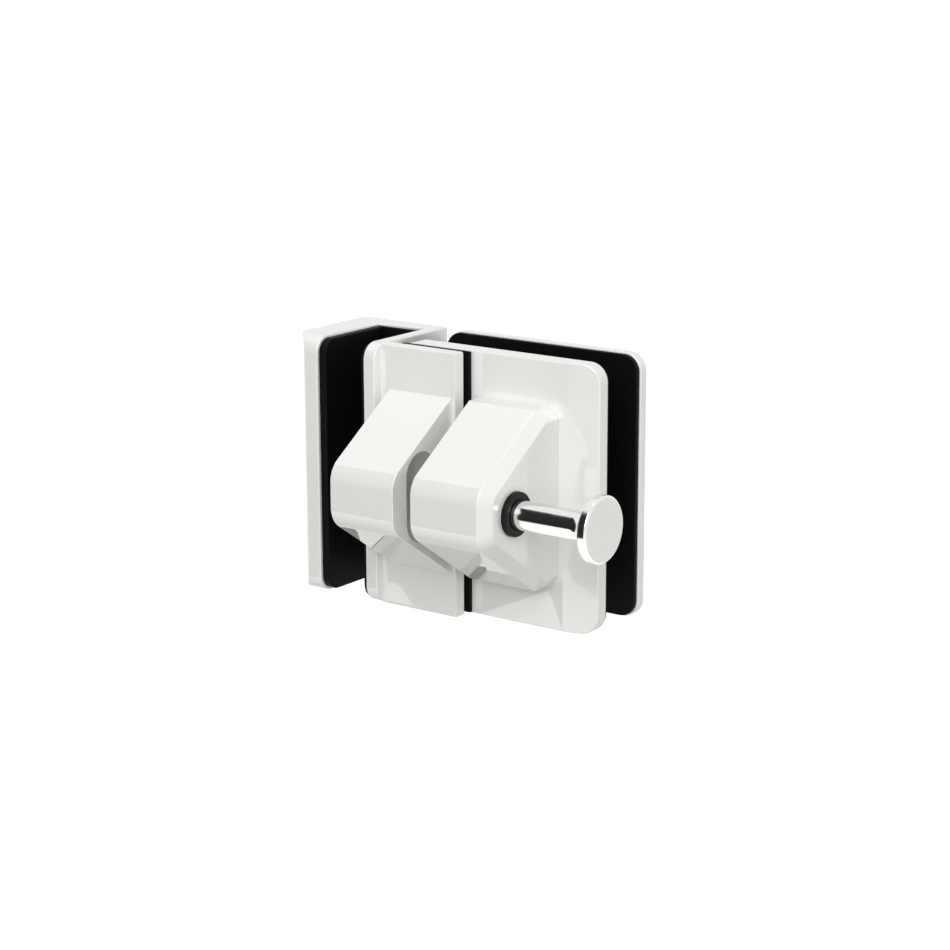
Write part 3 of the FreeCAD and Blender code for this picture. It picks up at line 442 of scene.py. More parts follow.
class Palette:
    """Every material of the latch, made once."""

    def __init__(self) -> None:
        """Make the materials."""
        across_x, across_z = (1.0, 0.03, 0.03), (0.03, 0.02, 1.0)
        turning_axis = Box.of("pin_bush").middle
        self.coat = PowderCoat("white_coat").material()
        self.rubber = SheetRubber("black_rubber").material()
        self.plastic = MouldedPlastic("black_plastic", turning_axis).material()
        self.turned = LinedSteel("turned_steel", across_x).material()
        self.brushed = LinedSteel(
            "brushed_steel",
            across_z,
            bright=(0.72, 0.715, 0.705, 1),
            dark=(0.56, 0.555, 0.545, 1),
            line_depth=0.0000012,
            smoothest=0.18,
            dullest=0.3,
        ).material()
        self.bare = LinedSteel(
            "bare_steel",
            (1.0, 1.0, 1.0),
            bright=(0.62, 0.615, 0.605, 1),
            dark=(0.52, 0.515, 0.505, 1),
            line_size=0.6,
            smoothest=0.24,
            dullest=0.36,
        ).material()


# Meshes


def linked(name: str, data: ID) -> Object:
    """Put a mesh, a lamp or a camera in the scene as an object at the origin."""
    made = bpy.data.objects.new(name, data)
    bpy.context.scene.collection.objects.link(made)
    return made


def freeze(host: Object, name: str) -> Object:
    """Turn an object with modifiers into a plain mesh at the origin.

    Args:
        host: The object, which is removed.
        name: The plain piece's name.

    Returns:
        The plain piece.
    """
    bpy.context.view_layer.update()
    graph = bpy.context.evaluated_depsgraph_get()
    mesh = bpy.data.meshes.new_from_object(
        host.evaluated_get(graph), preserve_all_data_layers=True, depsgraph=graph
    )
    bpy.data.objects.remove(host)
    mesh.name = name
    return linked(name, mesh)


def smooth_where_soft(form: BMesh, sharpest: float) -> None:
    """Shade a form smooth, except across edges sharper than an angle."""
    for face in form.faces:
        face.smooth = True
    for edge in form.edges:
        if len(edge.link_faces) == 2 and edge.calc_face_angle(0.0) > sharpest:
            edge.smooth = False


def weigh_normals(host: Object) -> None:
    """Let the large faces set the shading, so that flats look flat."""
    weighing = host.modifiers.new("weighing", "WEIGHTED_NORMAL")
    weighing.mode = "FACE_AREA"
    weighing.keep_sharp = True


@dataclass(frozen=True)
class EdgeBreak:
    """How the sharp edges of a copied node are rounded."""

    radius: float
    steps: int = 3
    sharpest: float = math.radians(28)
    coplanar: float = math.radians(0.4)
    large_face: float = 200 * MM**2
    most_corners: int = 4
    cut_flats: bool = False

    def apply(
        self,
        name: str,
        node: str,
        material: Material,
        test: EdgeTest | None = None,
    ) -> None:
        """Copy a CAD node's mesh, round its outer sharp edges and hand it over.

        Args:
            name: The new piece's name.
            node: The node to copy.
            material: The piece's finish.
            test: Says which edges may be rounded, from a point of the edge.
        """
        form = bmesh.new()
        form.from_mesh(frame["nodes"][node].data)
        bmesh.ops.remove_doubles(form, verts=form.verts, dist=SAME_PLACE)
        bmesh.ops.dissolve_limit(
            form, angle_limit=self.coplanar, verts=form.verts, edges=form.edges
        )
        weights = form.edges.layers.float.new("bevel_weight_edge")
        smooth_where_soft(form, self.sharpest)
        for edge in form.edges:
            if all(face.calc_area() > self.large_face for face in edge.link_faces):
                edge.smooth = False
        if self.cut_flats:
            flats = [f for f in form.faces if len(f.verts) > self.most_corners]
            bmesh.ops.triangulate(form, faces=flats)
        for edge in form.edges:
            middle = (edge.verts[0].co + edge.verts[1].co) / 2
            rounded = (
                len(edge.link_faces) == 2
                and edge.calc_face_angle_signed(0.0) > self.sharpest
                and (test is None or test(middle))
            )
            if rounded:
                edge[weights] = 1.0
                edge.smooth = True
        mesh = bpy.data.meshes.new(name)
        form.to_mesh(mesh)
        form.free()
        mesh.materials.clear()
        mesh.materials.append(material)
        host = linked(name + "_host", mesh)
        rounding = host.modifiers.new("rounding", "BEVEL")
        rounding.limit_method = "WEIGHT"
        rounding.width = self.radius
        rounding.segments = self.steps
        rounding.use_clamp_overlap = False
        weigh_normals(host)
        hand_over(freeze(host, name), node)


def clear_of(*nodes: str, margin: float = 0.6 * MM) -> EdgeTest:
    """Give a test that refuses edges beside these nodes.

    Args:
        nodes: The nodes whose holes and pockets keep their sharp edges.
        margin: How far round each node's box that reaches.

    Returns:
        A test of a point on an edge.
    """
    boxes = [Box.of(node) for node in nodes]
    return lambda point: not any(box.holds(point, margin) for box in boxes)


def outer_edges(node: str) -> EdgeTest:
    """Give a test that takes the edges of a node's hull, not those of its openings.

    Args:
        node: The CAD node.

    Returns:
        A test of a point on an edge.
    """
    shell = bmesh.new()
    for vertex in frame["nodes"][node].data.vertices:
        shell.verts.new(vertex.co)
    inside = bmesh.ops.convex_hull(shell, input=shell.verts)["geom_interior"]
    corners = [part for part in inside if isinstance(part, BMVert)]
    bmesh.ops.delete(shell, geom=corners, context="VERTS")
    hull = BVHTree.FromBMesh(shell)
    shell.free()

    def test(point: Vector) -> bool:
        """Say whether two sides of the hull meet at the point."""
        sides = [near[1] for near in hull.find_nearest_range(point, ON_SURFACE)]
        return any(sides[0].dot(side) < SAME_SIDE for side in sides)

    return test


@dataclass(frozen=True)
class Station:
    """One corner of a turned outline."""

    along: float
    radius: float
    ease: float = 0.0
    section: Section = Section.ROUND


@dataclass(frozen=True)
class Lathe:
    """Turns outlines into meshes."""

    segments: int = 96
    ease_steps: int = 4
    sharpest: float = math.radians(34)
    square_on: float = 0.999

    def eased(self, outline: Sequence[Station]) -> list[Station]:
        """Replace each corner that has an ease by a short curve."""
        places = [Vector((corner.along, corner.radius)) for corner in outline]
        points: list[Station] = []
        for index, corner in enumerate(outline):
            if not corner.ease or index in (0, len(outline) - 1):
                points.append(corner)
                continue
            here = places[index]
            before, after = places[index - 1] - here, places[index + 1] - here
            start = here + before.normalized() * min(corner.ease, before.length / 2)
            end = here + after.normalized() * min(corner.ease, after.length / 2)
            for step in range(self.ease_steps + 1):
                t = step / self.ease_steps
                point = start * (1 - t) ** 2 + here * (2 * t * (1 - t)) + end * t**2
                points.append(Station(point.x, point.y, 0.0, corner.section))
        return points

    def ring(
        self, form: BMesh, station: Station, origin: Vector, pointing: Pointing
    ) -> list[BMVert]:
        """Add one station's corners, or a single one on the axis."""
        axis, across, up = pointing.value
        centre = origin + axis * station.along
        if station.radius == 0:
            return [form.verts.new(centre)]
        corners = []
        sixth = math.tau / 6
        for index in range(self.segments):
            angle = math.tau * index / self.segments
            radius = station.radius
            if station.section is Section.HEXAGON:
                radius /= math.cos((angle + sixth / 2) % sixth - sixth / 2)
            corners.append(
                form.verts.new(
                    centre + (across * math.cos(angle) + up * math.sin(angle)) * radius
                )
            )
        return corners

    def turn(
        self,
        name: str,
        outline: Sequence[Station],
        origin: Vector,
        pointing: Pointing,
        materials: Sequence[Material],
        closed: bool = False,
    ) -> Object:
        """Turn an outline about an axis.

        Args:
            name: The piece's name.
            outline: The corners, from axis to axis or all the way round.
            origin: A point on the axis, at along 0.
            pointing: The direction of the axis.
            materials: The finish, and a second one for faces square to the axis.
            closed: Whether the outline is a loop that never meets the axis.

        Returns:
            The plain piece.
        """
        form = bmesh.new()
        stations = self.eased(outline)
        rings = [self.ring(form, station, origin, pointing) for station in stations]
        pairs = list(zip(rings, rings[1:]))
        if closed:
            pairs.append((rings[-1], rings[0]))
        for first, second in pairs:
            self.band(form, first, second)
        bmesh.ops.recalc_face_normals(form, faces=form.faces)
        smooth_where_soft(form, self.sharpest)
        if len(materials) > 1:
            self.mark_end_faces(form, pointing)
        mesh = bpy.data.meshes.new(name)
        form.to_mesh(mesh)
        form.free()
        for material in materials:
            mesh.materials.append(material)
        host = linked(name + "_host", mesh)
        weigh_normals(host)
        return freeze(host, name)

    def mark_end_faces(self, form: BMesh, pointing: Pointing) -> None:
        """Give the second finish to the faces that look along the axis."""
        for face in form.faces:
            if face.normal.dot(pointing.value[0]) > self.square_on:
                face.material_index = 1

    def band(self, form: BMesh, first: list[BMVert], second: list[BMVert]) -> None:
        """Join two rings, or a ring and a point on the axis."""
        for index in range(self.segments):
            after = (index + 1) % self.segments
            corners = [
                first[index % len(first)],
                first[after % len(first)],
                second[after % len(second)],
                second[index % len(second)],
            ]
            unique = list(dict.fromkeys(corners))
            if len(unique) > 2:
                form.faces.new(unique)


# Geometry trees


class Recipe:
    """A geometry tree with named inputs."""

    def __init__(self, name: str, inputs: dict[str, str]) -> None:
        """Make the tree's inputs, its output and an empty sheet.

        Args:
            name: The tree's name.
            inputs: Each input's name and its kind of socket in Blender's words.
        """
        self.tree = bpy.data.node_groups.new(name, "GeometryNodeTree")
        face = self.tree.interface
        self.keys = {
            label: face.new_socket(
                name=label, in_out="INPUT", socket_type="NodeSocket" + kind
            ).identifier
            for label, kind in inputs.items()
        }
        face.new_socket(
            name="Geometry", in_out="OUTPUT", socket_type="NodeSocketGeometry"
        )
        self.sheet = NodeSheet(self.tree)
        self.entry = self.tree.nodes.new("NodeGroupInput")

    def given(self, label: str) -> Signal:
        """Give the signal of one named input."""
        return Signal(self.sheet, self.entry.outputs[label])

    def end(self, geometry: Signal) -> None:
        """Realize the geometry, give it its finish and put it out."""
        sheet = self.sheet
        real = sheet.node("GeometryNodeRealizeInstances", {"Geometry": geometry})
        finish = {"Geometry": real, "Material": self.given("Finish")}
        dressed = sheet.node("GeometryNodeSetMaterial", finish)
        sheet.node("NodeGroupOutput", {"Geometry": dressed})

    def make(self, name: str, values: dict[str, Any]) -> Object:
        """Make a plain piece from the tree.

        Args:
            name: The piece's name.
            values: A value for each named input.

        Returns:
            The plain piece.
        """
        host = linked(name + "_host", bpy.data.meshes.new(name + "_host"))
        modifier = host.modifiers.new("recipe", "NODES")
        modifier.node_group = self.tree
        for label, value in values.items():
            modifier[self.keys[label]] = value
        return freeze(host, name)


class RowsAndColumns(Recipe):
    """Repeats a template in columns along X and rows along Z."""

    def __init__(self) -> None:
        """Build the tree."""
        super().__init__(
            "rows_and_columns",
            {
                "Template": "Object",
                "Start": "Vector",
                "Columns": "Int",
                "Column Step": "Vector",
                "Rows": "Int",
                "Row Step": "Vector",
                "Finish": "Material",
            },
        )
        sheet = self.sheet
        start, step = self.given("Start"), self.given("Column Step")
        columns = self.line(self.given("Columns"), start, step)
        rows = self.line(self.given("Rows"), (0, 0, 0), self.given("Row Step"))
        places = self.put_on(columns, rows)
        points = sheet.node("GeometryNodeRealizeInstances", {"Geometry": places})
        source = {"Object": self.given("Template")}
        template = sheet.node("GeometryNodeObjectInfo", source, "Geometry")
        self.end(self.put_on(points, template))

    def line(self, count: Value, start: Value, step: Value) -> Signal:
        """Add a line of points."""
        return self.sheet.node(
            "GeometryNodeMeshLine",
            {"Count": count, "Start Location": start, "Offset": step},
            mode="OFFSET",
            count_mode="TOTAL",
        )

    def put_on(self, points: Signal, instance: Signal) -> Signal:
        """Put an instance on each point."""
        sockets = {"Points": points, "Instance": instance}
        return self.sheet.node("GeometryNodeInstanceOnPoints", sockets)

    def repeat(
        self, name: str, template: Object, nodes: Sequence[str], anchor: Vector
    ) -> None:
        """Repeat a template where CAD nodes are, in one piece that stands for them.

        Args:
            name: The piece's name.
            template: The shape round the origin, which is removed afterwards.
            nodes: The CAD nodes, in a grid of one or two columns and two rows.
            anchor: The way from each node's middle to its template's origin.
        """
        middles = [Box.of(node).middle for node in nodes]
        low = Vector([min(middle[i] for middle in middles) for i in range(3)])
        high = Vector([max(middle[i] for middle in middles) for i in range(3)])
        span = high - low
        columns = 2 if span.x > MM else 1
        piece = self.make(
            name,
            {
                "Template": template,
                "Start": tuple(low + anchor),
                "Columns": columns,
                "Column Step": (span.x, 0.0, 0.0),
                "Rows": 2,
                "Row Step": (0.0, 0.0, span.z),
                "Finish": template.data.materials[0],
            },
        )
        bpy.data.objects.remove(template)
        hand_over(piece, *nodes)


class Coil(Recipe):
    """Sweeps round wire along a helix about X."""

    def __init__(self, turn_points: int = 40, wire_sides: int = 14) -> None:
        """Build the tree, with this many points a turn and sides of the wire."""
        super().__init__(
            "coil",
            {
                "Start": "Vector",
                "Length": "Float",
                "Turns": "Float",
                "Helix Radius": "Float",
                "Wire Radius": "Float",
                "Finish": "Material",
            },
        )
        sheet = self.sheet
        helix = sheet.node(
            "GeometryNodeCurveSpiral",
            {
                "Resolution": turn_points,
                "Rotations": self.given("Turns"),
                "Start Radius": self.given("Helix Radius"),
                "End Radius": self.given("Helix Radius"),
                "Height": self.given("Length"),
            },
        )
        lying = sheet.node(
            "GeometryNodeTransform",
            {
                "Geometry": helix,
                "Translation": self.given("Start"),
                "Rotation": (0.0, math.pi / 2, 0.0),
            },
        )
        round_wire = {"Resolution": wire_sides, "Radius": self.given("Wire Radius")}
        wire = sheet.node("GeometryNodeCurvePrimitiveCircle", round_wire)
        sweep = {"Curve": lying, "Profile Curve": wire, "Fill Caps": True}
        self.end(sheet.node("GeometryNodeCurveToMesh", sweep))


# Sub-assemblies


@dataclass(frozen=True)
class GlassChannel:
    """The casting that grips the fixed panel, its liners and the plate that presses."""

    palette: Palette
    casting_edge: EdgeBreak = EdgeBreak(0.5 * MM)
    liner_edge: EdgeBreak = EdgeBreak(0.35 * MM)
    plate_edge: EdgeBreak = EdgeBreak(0.3 * MM)

    def build(self) -> None:
        """Build the channel's pieces."""
        pins = numbered("set_screw", 2)
        recess = Box.of(pins[0]).low.x - Box.of("channel_body").low.x
        inside = clear_of("press_plate", *numbered("strike_screw", 4))
        mouths = clear_of(*pins, margin=recess + self.casting_edge.radius)
        self.casting_edge.apply(
            "channel_casting",
            "channel_body",
            self.palette.coat,
            lambda point: inside(point) and mouths(point),
        )
        for name, node in (
            ("outer_liner", "channel_pad_outer"),
            ("inner_liner", "channel_pad_inner"),
            ("floor_liner", "channel_pad_web"),
        ):
            self.liner_edge.apply(name, node, self.palette.rubber)
        self.plate_edge.apply("pressing_plate", "press_plate", self.palette.bare)


@dataclass(frozen=True)
class GatePlates:
    """The plates and gaskets that clamp the gate's glass, and the stop strip."""

    palette: Palette
    plate_edge: EdgeBreak = EdgeBreak(0.45 * MM)
    rubber_edge: EdgeBreak = EdgeBreak(0.3 * MM)

    def build(self) -> None:
        """Build the plates' pieces."""
        clamps = numbered("clamp_screw", 2)
        off_screws = clear_of(*clamps, *numbered("housing_screw", 4))
        off_sleeves = clear_of(*clamps, *numbered("glass_sleeve", 2))
        for name, node in (
            ("front_clamp_plate", "front_plate"),
            ("back_clamp_plate", "back_plate"),
        ):
            self.plate_edge.apply(name, node, self.palette.coat, off_screws)
        for name, node in (
            ("front_glass_gasket", "front_gasket"),
            ("back_glass_gasket", "back_gasket"),
            ("stop_strip", "stop_pad"),
        ):
            self.rubber_edge.apply(name, node, self.palette.rubber, off_sleeves)


@dataclass(frozen=True)
class Covers:
    """The two covers over the bolt, one on each side of the gap."""

    palette: Palette
    edge: EdgeBreak = EdgeBreak(0.25 * MM, cut_flats=True)

    def build(self) -> None:
        """Build the two covers."""
        for name, node in (
            ("strike_cover", "strike_housing"),
            ("latch_cover", "latch_housing"),
        ):
            self.edge.apply(name, node, self.palette.coat, outer_edges(node))


@dataclass(frozen=True)
class BoltAndKnob:
    """The sliding bolt with its pin, knob, spring and bushes."""

    palette: Palette
    lathe: Lathe = Lathe(segments=128)
    tenon: float = 2.5 * MM
    knob_neck: float = 6.2 * MM
    flare_reach: float = 5.5 * MM
    flare_power: float = 1.8
    flare_steps: int = 8
    disc: float = 3.1 * MM
    knob_rim: float = 0.45 * MM
    rim_line: float = 0.18 * MM
    fit: float = 0.05 * MM
    pin_shoulder: float = 0.25 * MM
    bush_step: float = 0.2 * MM
    bush_land: float = 1.5 * MM
    bush_lip: float = 0.7 * MM
    bush_slope: float = 0.1 * MM
    bush_ease: float = 0.35 * MM
    step_ease: float = 0.12 * MM
    flange_ease: float = 0.2 * MM
    flange_reach: float = 1.5 * MM
    flange_lip: float = 1.3 * MM
    seat_depth: float = 2.5 * MM
    seat_play: float = 0.2 * MM
    spring_turns: float = 6.0
    wire: float = 0.9 * MM
    bolt_edge: EdgeBreak = EdgeBreak(0.1 * MM)
    pin_edge: EdgeBreak = EdgeBreak(0.1 * MM, steps=2)

    def build(self) -> None:
        """Build the bolt's pieces."""
        self.pull_pin()
        self.knob()
        self.pin_bush()
        self.bolt_edge.apply(
            "sliding_bolt", "latch_bolt", self.palette.turned, clear_of("cross_pin")
        )
        self.pin_edge.apply("bolt_cross_pin", "cross_pin", self.palette.bare)
        self.bolt_edge.apply("nose_end_bush", "nose_bush", self.palette.plastic)
        self.spring()

    def pull_pin(self) -> None:
        """Turn the pin, thinner in the bolt and the knob, and wider before the knob."""
        box = Box.of("pull_pin")
        radius, tenon = box.size.z / 2, self.tenon
        shoulder = Box.of("latch_bolt").high.x - box.low.x
        neck = Box.of("knob").low.x - box.low.x
        ease = self.pin_shoulder
        outline = [
            Station(0, 0),
            Station(0, tenon, ease),
            Station(shoulder, tenon),
            Station(shoulder, radius, ease),
            *self.flare(self.flare_start - box.low.x, neck, box.low.x),
            Station(neck, tenon),
            Station(box.size.x, tenon, ease),
            Station(box.size.x, 0),
        ]
        self.turn("draw_pin", "pull_pin", outline, [self.palette.turned])

    @property
    def flare_start(self) -> float:
        """Give the X at which the pin starts to widen towards the knob's disc."""
        return Box.of("knob").high.x - self.disc - self.flare_reach

    def flare(self, start: float, end: float, origin: float) -> list[Station]:
        """Give the stations of a stretch of the hollow curve from the pin to the disc.

        Args:
            start: Where the stretch starts, from the origin.
            end: Where it ends.
            origin: The X of along 0.

        Returns:
            Stations from the start to the end, both of them included.
        """
        foot = Box.of("pull_pin").size.z / 2
        stations = []
        for step in range(self.flare_steps + 1):
            along = start + (end - start) * step / self.flare_steps
            share = (origin + along - self.flare_start) / self.flare_reach
            rise = (self.knob_neck - foot) * share**self.flare_power
            stations.append(Station(along, foot + rise))
        return stations

    def on_axis(self, along: float) -> Vector:
        """Give the point of the bolt's axis at an X."""
        middle = Box.of("pull_pin").middle
        return Vector((along, middle.y, middle.z))

    def knob(self) -> None:
        """Turn the knob: a flare that grows into a disc with a broken rim."""
        box = Box.of("knob")
        radius, bore = box.size.z / 2, self.tenon + self.fit
        depth = Box.of("pull_pin").high.x - box.low.x + self.fit
        face, back = box.size.x, box.size.x - self.disc
        outline = [
            Station(depth, 0),
            Station(depth, bore),
            Station(0, bore),
            *self.flare(0, back, box.low.x),
            Station(back, radius - self.knob_rim, self.rim_line),
            Station(back + self.knob_rim, radius, self.rim_line),
            Station(face - self.knob_rim, radius, self.rim_line),
            Station(face, radius - self.knob_rim, self.rim_line),
            Station(face, 0),
        ]
        finishes = [self.palette.turned, self.palette.brushed]
        self.turn("pull_knob", "knob", outline, finishes)

    def pin_bush(self) -> None:
        """Turn the knob-end bush, stepped twice down to the pin."""
        box = Box.of("pin_bush")
        length, flange = box.size.x, box.size.z / 2
        body = flange - self.flange_lip
        bore = Box.of("pull_pin").size.z / 2 + self.fit
        seat = Box.of("bolt_spring").size.z / 2 + self.seat_play
        step, ease = self.bush_step, self.step_ease
        mouth = body - self.bush_ease - self.bush_land
        outline = [
            Station(0, seat),
            Station(0, flange, self.flange_ease),
            Station(self.flange_reach, flange, self.flange_ease),
            Station(self.flange_reach, body),
            Station(length, body, self.bush_ease),
            Station(length, mouth, ease),
            Station(length - step, mouth - self.bush_slope, ease),
            Station(length - step, bore + self.bush_lip, ease),
            Station(length - 2 * step, bore, ease),
            Station(self.seat_depth, bore),
            Station(self.seat_depth, seat),
        ]
        finishes = [self.palette.plastic]
        self.turn("knob_end_bush", "pin_bush", outline, finishes, closed=True)

    def turn(
        self,
        name: str,
        node: str,
        outline: Sequence[Station],
        materials: Sequence[Material],
        closed: bool = False,
    ) -> None:
        """Turn a piece about the bolt's axis where a CAD node starts."""
        start = self.on_axis(Box.of(node).low.x)
        piece = self.lathe.turn(
            name, outline, start, Pointing.GATEWARDS, materials, closed
        )
        hand_over(piece, node)

    def spring(self) -> None:
        """Wind the bolt's spring."""
        box = Box.of("bolt_spring")
        half_wire = self.wire / 2
        piece = Coil().make(
            "bolt_coil",
            {
                "Start": tuple(self.on_axis(box.low.x + half_wire)),
                "Length": box.size.x - self.wire,
                "Turns": self.spring_turns,
                "Helix Radius": box.size.z / 2 - half_wire,
                "Wire Radius": half_wire,
                "Finish": self.palette.bare,
            },
        )
        piece.data.shade_smooth()
        hand_over(piece, "bolt_spring")
        travel = next(
            joint["range_m"][1]
            for joint in frame["joints"]
            if joint["name"] == "bolt_draw"
        )
        tuple(self.on_axis(box.high.x))
        (box.size.x - travel) / box.size.x
        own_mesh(piece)


@dataclass(frozen=True)
class Hardware:
    """Screws, washers and sleeves, each kind repeated from one template."""

    palette: Palette
    lathe: Lathe = Lathe(segments=48, ease_steps=3)
    case_head: float = 3.9 * MM
    case_shank: float = 2.0 * MM
    case_socket: float = 1.25 * MM
    clamp_shank: float = 3.0 * MM
    clamp_head: float = 3.3 * MM
    clamp_socket: float = 2.0 * MM
    clamp_crown: float = 3.3 * MM
    dome_steps: int = 8
    head_edge: float = 0.55 * MM
    set_socket: float = 1.5 * MM
    lead: float = 0.5 * MM
    break_edge: float = 0.2 * MM
    socket_depth: float = 2.0 * MM

    def build(self) -> None:
        """Build every kind of hardware."""
        pattern = RowsAndColumns()
        for name, nodes, screw in (
            ("strike_cover_screws", numbered("strike_screw", 4), self.case_screw),
            ("latch_cover_screws", numbered("housing_screw", 4), self.case_screw),
            ("clamp_bolts", numbered("clamp_screw", 2), self.clamp_screw),
        ):
            length = Box.of(nodes[0]).size.y
            pattern.repeat(name, screw(length), nodes, Vector((0, length / 2, 0)))
        pins = numbered("set_screw", 2)
        length = Box.of(pins[0]).size.x
        pattern.repeat(
            "pressing_screws", self.set_screw(length), pins, Vector((-length / 2, 0, 0))
        )
        for name, stem, material in (
            ("clamp_rings", "clamp_washer", self.palette.bare),
            ("glass_sleeves", "glass_sleeve", self.palette.plastic),
        ):
            nodes = numbered(stem, 2)
            size = Box.of(nodes[0]).size
            template = self.collar(name, size.y, size.z / 2, material)
            pattern.repeat(name, template, nodes, Vector((0, -size.y / 2, 0)))

    def template(
        self,
        name: str,
        outline: Sequence[Station],
        pointing: Pointing,
        material: Material | None = None,
        closed: bool = False,
    ) -> Object:
        """Turn a template round the origin, of bare steel unless told otherwise."""
        finishes = [material or self.palette.bare]
        return self.lathe.turn(
            name + "_template", outline, Vector(), pointing, finishes, closed
        )

    def socketed(self, depth: float, flats: float) -> list[Station]:
        """Give the first stations of a head with a hexagon socket."""
        return [
            Station(depth, 0),
            Station(depth, flats, 0, Section.HEXAGON),
            Station(0, flats, 0, Section.HEXAGON),
        ]

    def tip(self, length: float, shank: float) -> list[Station]:
        """Give the last stations of a screw, with a short lead."""
        return [
            Station(length - self.lead, shank),
            Station(length, shank - self.lead),
            Station(length, 0),
        ]

    def case_screw(self, length: float) -> Object:
        """Turn a countersunk screw that points to the front, head at the origin."""
        cone = self.case_head - self.case_shank
        outline = [
            *self.socketed(self.socket_depth, self.case_socket),
            Station(0, self.case_head, self.break_edge),
            Station(cone, self.case_shank),
            *self.tip(length, self.case_shank),
        ]
        return self.template("case_screw", outline, Pointing.FORWARDS)

    def clamp_screw(self, length: float) -> Object:
        """Turn a button-head screw that points to the front, crown at the origin."""
        head = Box.of("clamp_screw_1").size.z / 2
        rise = self.clamp_head - self.head_edge
        dome = []
        for step in range(self.dome_steps + 1):
            angle = math.pi / 2 * step / self.dome_steps
            radius = self.clamp_crown + (head - self.clamp_crown) * math.sin(angle)
            dome.append(Station(rise * (1 - math.cos(angle)), radius))
        outline = [
            *self.socketed(self.socket_depth, self.clamp_socket),
            *dome,
            Station(self.clamp_head, head, self.break_edge),
            Station(self.clamp_head, self.clamp_shank),
            *self.tip(length, self.clamp_shank),
        ]
        return self.template("clamp_screw", outline, Pointing.FORWARDS)

    def set_screw(self, length: float) -> Object:
        """Turn a set screw that points to the gate, socket at the origin."""
        outline = [
            *self.socketed(self.socket_depth, self.set_socket),
            Station(0, self.clamp_shank, self.break_edge),
            *self.tip(length, self.clamp_shank),
        ]
        return self.template("set_screw", outline, Pointing.GATEWARDS)

    def collar(
        self, name: str, length: float, radius: float, material: Material
    ) -> Object:
        """Turn a washer or a sleeve round a clamp screw."""
        edge = self.break_edge
        bore = self.clamp_shank + edge
        outline = [
            Station(0, bore),
            Station(0, radius - edge),
            Station(edge, radius),
            Station(length - edge, radius),
            Station(length, radius - edge),
            Station(length, bore),
        ]
        return self.template(name, outline, Pointing.BACKWARDS, material, closed=True)


# The studio


def lay_out(name: str, corners: Sequence[tuple], material: Material) -> Object:
    """Stage a flat sheet from its four corners."""
    mesh = bpy.data.meshes.new(name)
    mesh.from_pydata(corners, [], [range(len(corners))])
    mesh.materials.append(material)
    flat = linked(name, mesh)
    flat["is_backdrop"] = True
    return flat


@dataclass(frozen=True)
class Softbox:
    """A square lamp that looks at the latch."""

    name: str
    place: Triple
    width: float
    power: float

    def light(self, target: Vector) -> None:
        """Hang the lamp and aim it."""
        data = bpy.data.lights.new(self.name, "AREA")
        data.shape = "SQUARE"
        data.size = self.width
        data.energy = self.power
        lamp = linked(self.name, data)
        lamp.location = self.place
        aim = target - Vector(self.place)
        lamp.rotation_mode = "QUATERNION"
        lamp.rotation_quaternion = aim.to_track_quat("-Z", "Y")
        lamp.visible_camera = False


@dataclass(frozen=True)
class Card:
    """An upright card near the latch that shows only in reflections."""

    name: str
    low: Triple
    high: Triple
    paint: Colour

    def put_up(self) -> None:
        """Make the card and hide it from every other kind of ray."""
        (x0, y0, z0), (x1, y1, z1) = self.low, self.high
        corners = [(x0, y0, z0), (x1, y1, z0), (x1, y1, z1), (x0, y0, z1)]
        material = new_material(
            self.name + "_paint",
            lambda sheet: sheet.node("ShaderNodeBsdfDiffuse", {"Color": self.paint}),
        )
        card = lay_out(self.name, corners, material)
        for rays in ("camera", "diffuse", "transmission", "shadow"):
            setattr(card, f"visible_{rays}", False)


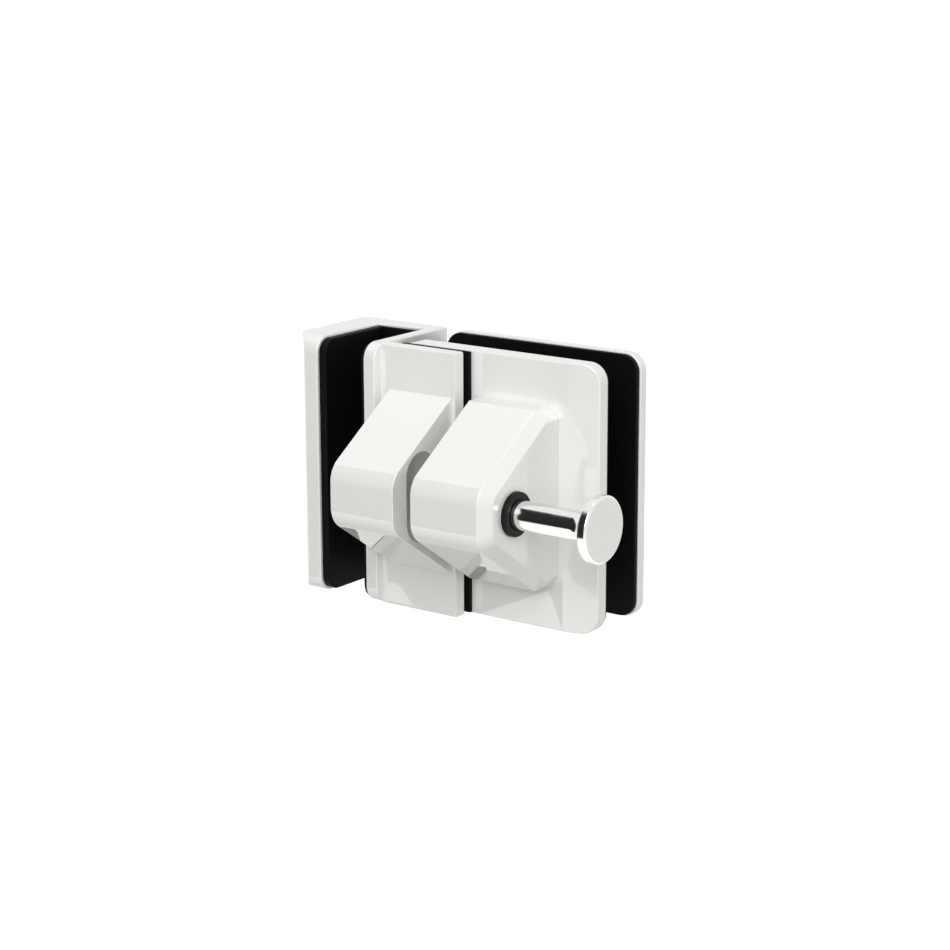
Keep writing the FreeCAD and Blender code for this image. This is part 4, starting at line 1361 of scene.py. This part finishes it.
@dataclass(frozen=True)
class Studio:
    """The floor, the lamps, the surroundings and the camera."""

    floor_height: float = -0.45
    floor_reach: float = 12.0
    floor_paint: Colour = (0.50, 0.49, 0.46, 1)
    floor_glow: float = 0.85
    backdrop: Colour = (1, 1, 1, 1)
    above: Colour = (0.18, 0.18, 0.18, 1)
    level: Colour = (1.08, 1.08, 1.08, 1)
    below: Colour = (0.30, 0.29, 0.27, 1)
    horizon: float = 0.5
    eye: Triple = (0.46422, -0.59363, 0.17783)
    azimuth: float = math.radians(36.288)
    elevation: float = math.radians(13.793)
    roll: float = math.radians(-0.168)
    lens: float = 94.335
    sensor: float = 36.0
    lamps: tuple[Softbox, ...] = (
        Softbox("key_softbox", (0.485, -1.0, 0.86), 1.0, 10.0),
        Softbox("top_softbox", (0.06, 0.05, 0.85), 0.24, 0.5),
    )
    cards: tuple[Card, ...] = (
        Card(
            "left_card",
            (-0.6, -1.35, -0.43),
            (-0.6, -0.36, 1.0),
            (0.02, 0.02, 0.02, 1),
        ),
        Card(
            "front_card",
            (-0.6, -1.35, -0.43),
            (0.05, -1.35, 1.0),
            (0.45, 0.44, 0.42, 1),
        ),
    )

    def build(self) -> None:
        """Set the studio up round the latch."""
        bpy.context.scene.view_settings.view_transform = "Standard"
        low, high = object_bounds()
        for lamp in self.lamps:
            lamp.light((low + high) / 2)
        for card in self.cards:
            card.put_up()
        self.surroundings()
        self.floor()
        self.camera()
        LOG.info("studio is set")

    def seen_directly(self, sheet: NodeSheet) -> Signal:
        """Give 1 for camera, glossy and transmission rays, else 0."""
        camera, glossy, through = (
            sheet.node("ShaderNodeLightPath", output=f"Is {rays} Ray")
            for rays in ("Camera", "Glossy", "Transmission")
        )
        return sheet.maths("MINIMUM", camera + glossy + through, 1.0)

    def surroundings(self) -> None:
        """Make the world white to look at and softly graded as a light."""
        world = bpy.data.worlds.new("studio_world")
        bpy.context.scene.world = world
        world.use_nodes = True
        sheet = NodeSheet(world.node_tree)
        direction = sheet.node("ShaderNodeTexCoord", output="Generated")
        height = sheet.node("ShaderNodeSeparateXYZ", {0: direction}, "Z")
        glow = sheet.node(
            "ShaderNodeValToRGB",
            {"Fac": self.horizon + self.horizon * height},
            stops=((0, self.below), (self.horizon, self.level), (1, self.above)),
        )
        light = sheet.node("ShaderNodeBackground", {"Color": glow})
        white = sheet.node("ShaderNodeBackground", {"Color": self.backdrop})
        sockets = {0: self.seen_directly(sheet), 1: light, 2: white}
        both = sheet.node("ShaderNodeMixShader", sockets)
        sheet.node("ShaderNodeOutputWorld", {"Surface": both})

    def floor(self) -> None:
        """Lay a pale floor that glows for the camera and in reflections."""
        reach, height = self.floor_reach, self.floor_height
        corners = [
            (x * reach, y * reach, height)
            for x, y in ((-1, -1), (1, -1), (1, 1), (-1, 1))
        ]

        def surface(sheet: NodeSheet) -> Signal:
            """Add the paint and the glow."""
            paint = sheet.node("ShaderNodeBsdfDiffuse", {"Color": self.floor_paint})
            strength = self.floor_glow * self.seen_directly(sheet)
            sockets = {"Color": self.backdrop, "Strength": strength}
            glow = sheet.node("ShaderNodeEmission", sockets)
            return sheet.node("ShaderNodeAddShader", {0: paint, 1: glow})

        lay_out("floor", corners, new_material("pale_floor", surface))

    def camera(self) -> None:
        """Stand the camera where the photograph was taken."""
        a, e = self.azimuth, self.elevation
        flat = math.cos(e)
        back = Vector((math.sin(a) * flat, -math.cos(a) * flat, math.sin(e)))
        right = Vector((math.cos(a), math.sin(a), 0))
        up = back.cross(right)
        tilted_right = right * math.cos(self.roll) + up * math.sin(self.roll)
        tilted_up = up * math.cos(self.roll) - right * math.sin(self.roll)
        data = bpy.data.cameras.new("camera")
        data.lens = self.lens
        data.sensor_width = self.sensor
        camera = linked("camera", data)
        turn = Matrix((tilted_right, tilted_up, back)).transposed().to_4x4()
        camera.matrix_world = Matrix.Translation(Vector(self.eye)) @ turn
        bpy.context.scene.camera = camera


def main() -> None:
    """Build the latch's pieces in order, then the studio."""
    logging.basicConfig(level=logging.INFO, format="%(message)s")
    palette = Palette()
    for assembly in (
        GlassChannel(palette),
        GatePlates(palette),
        Covers(palette),
        BoltAndKnob(palette),
        Hardware(palette),
        Studio(),
    ):
        assembly.build()


if __name__ == "__main__":
    main()
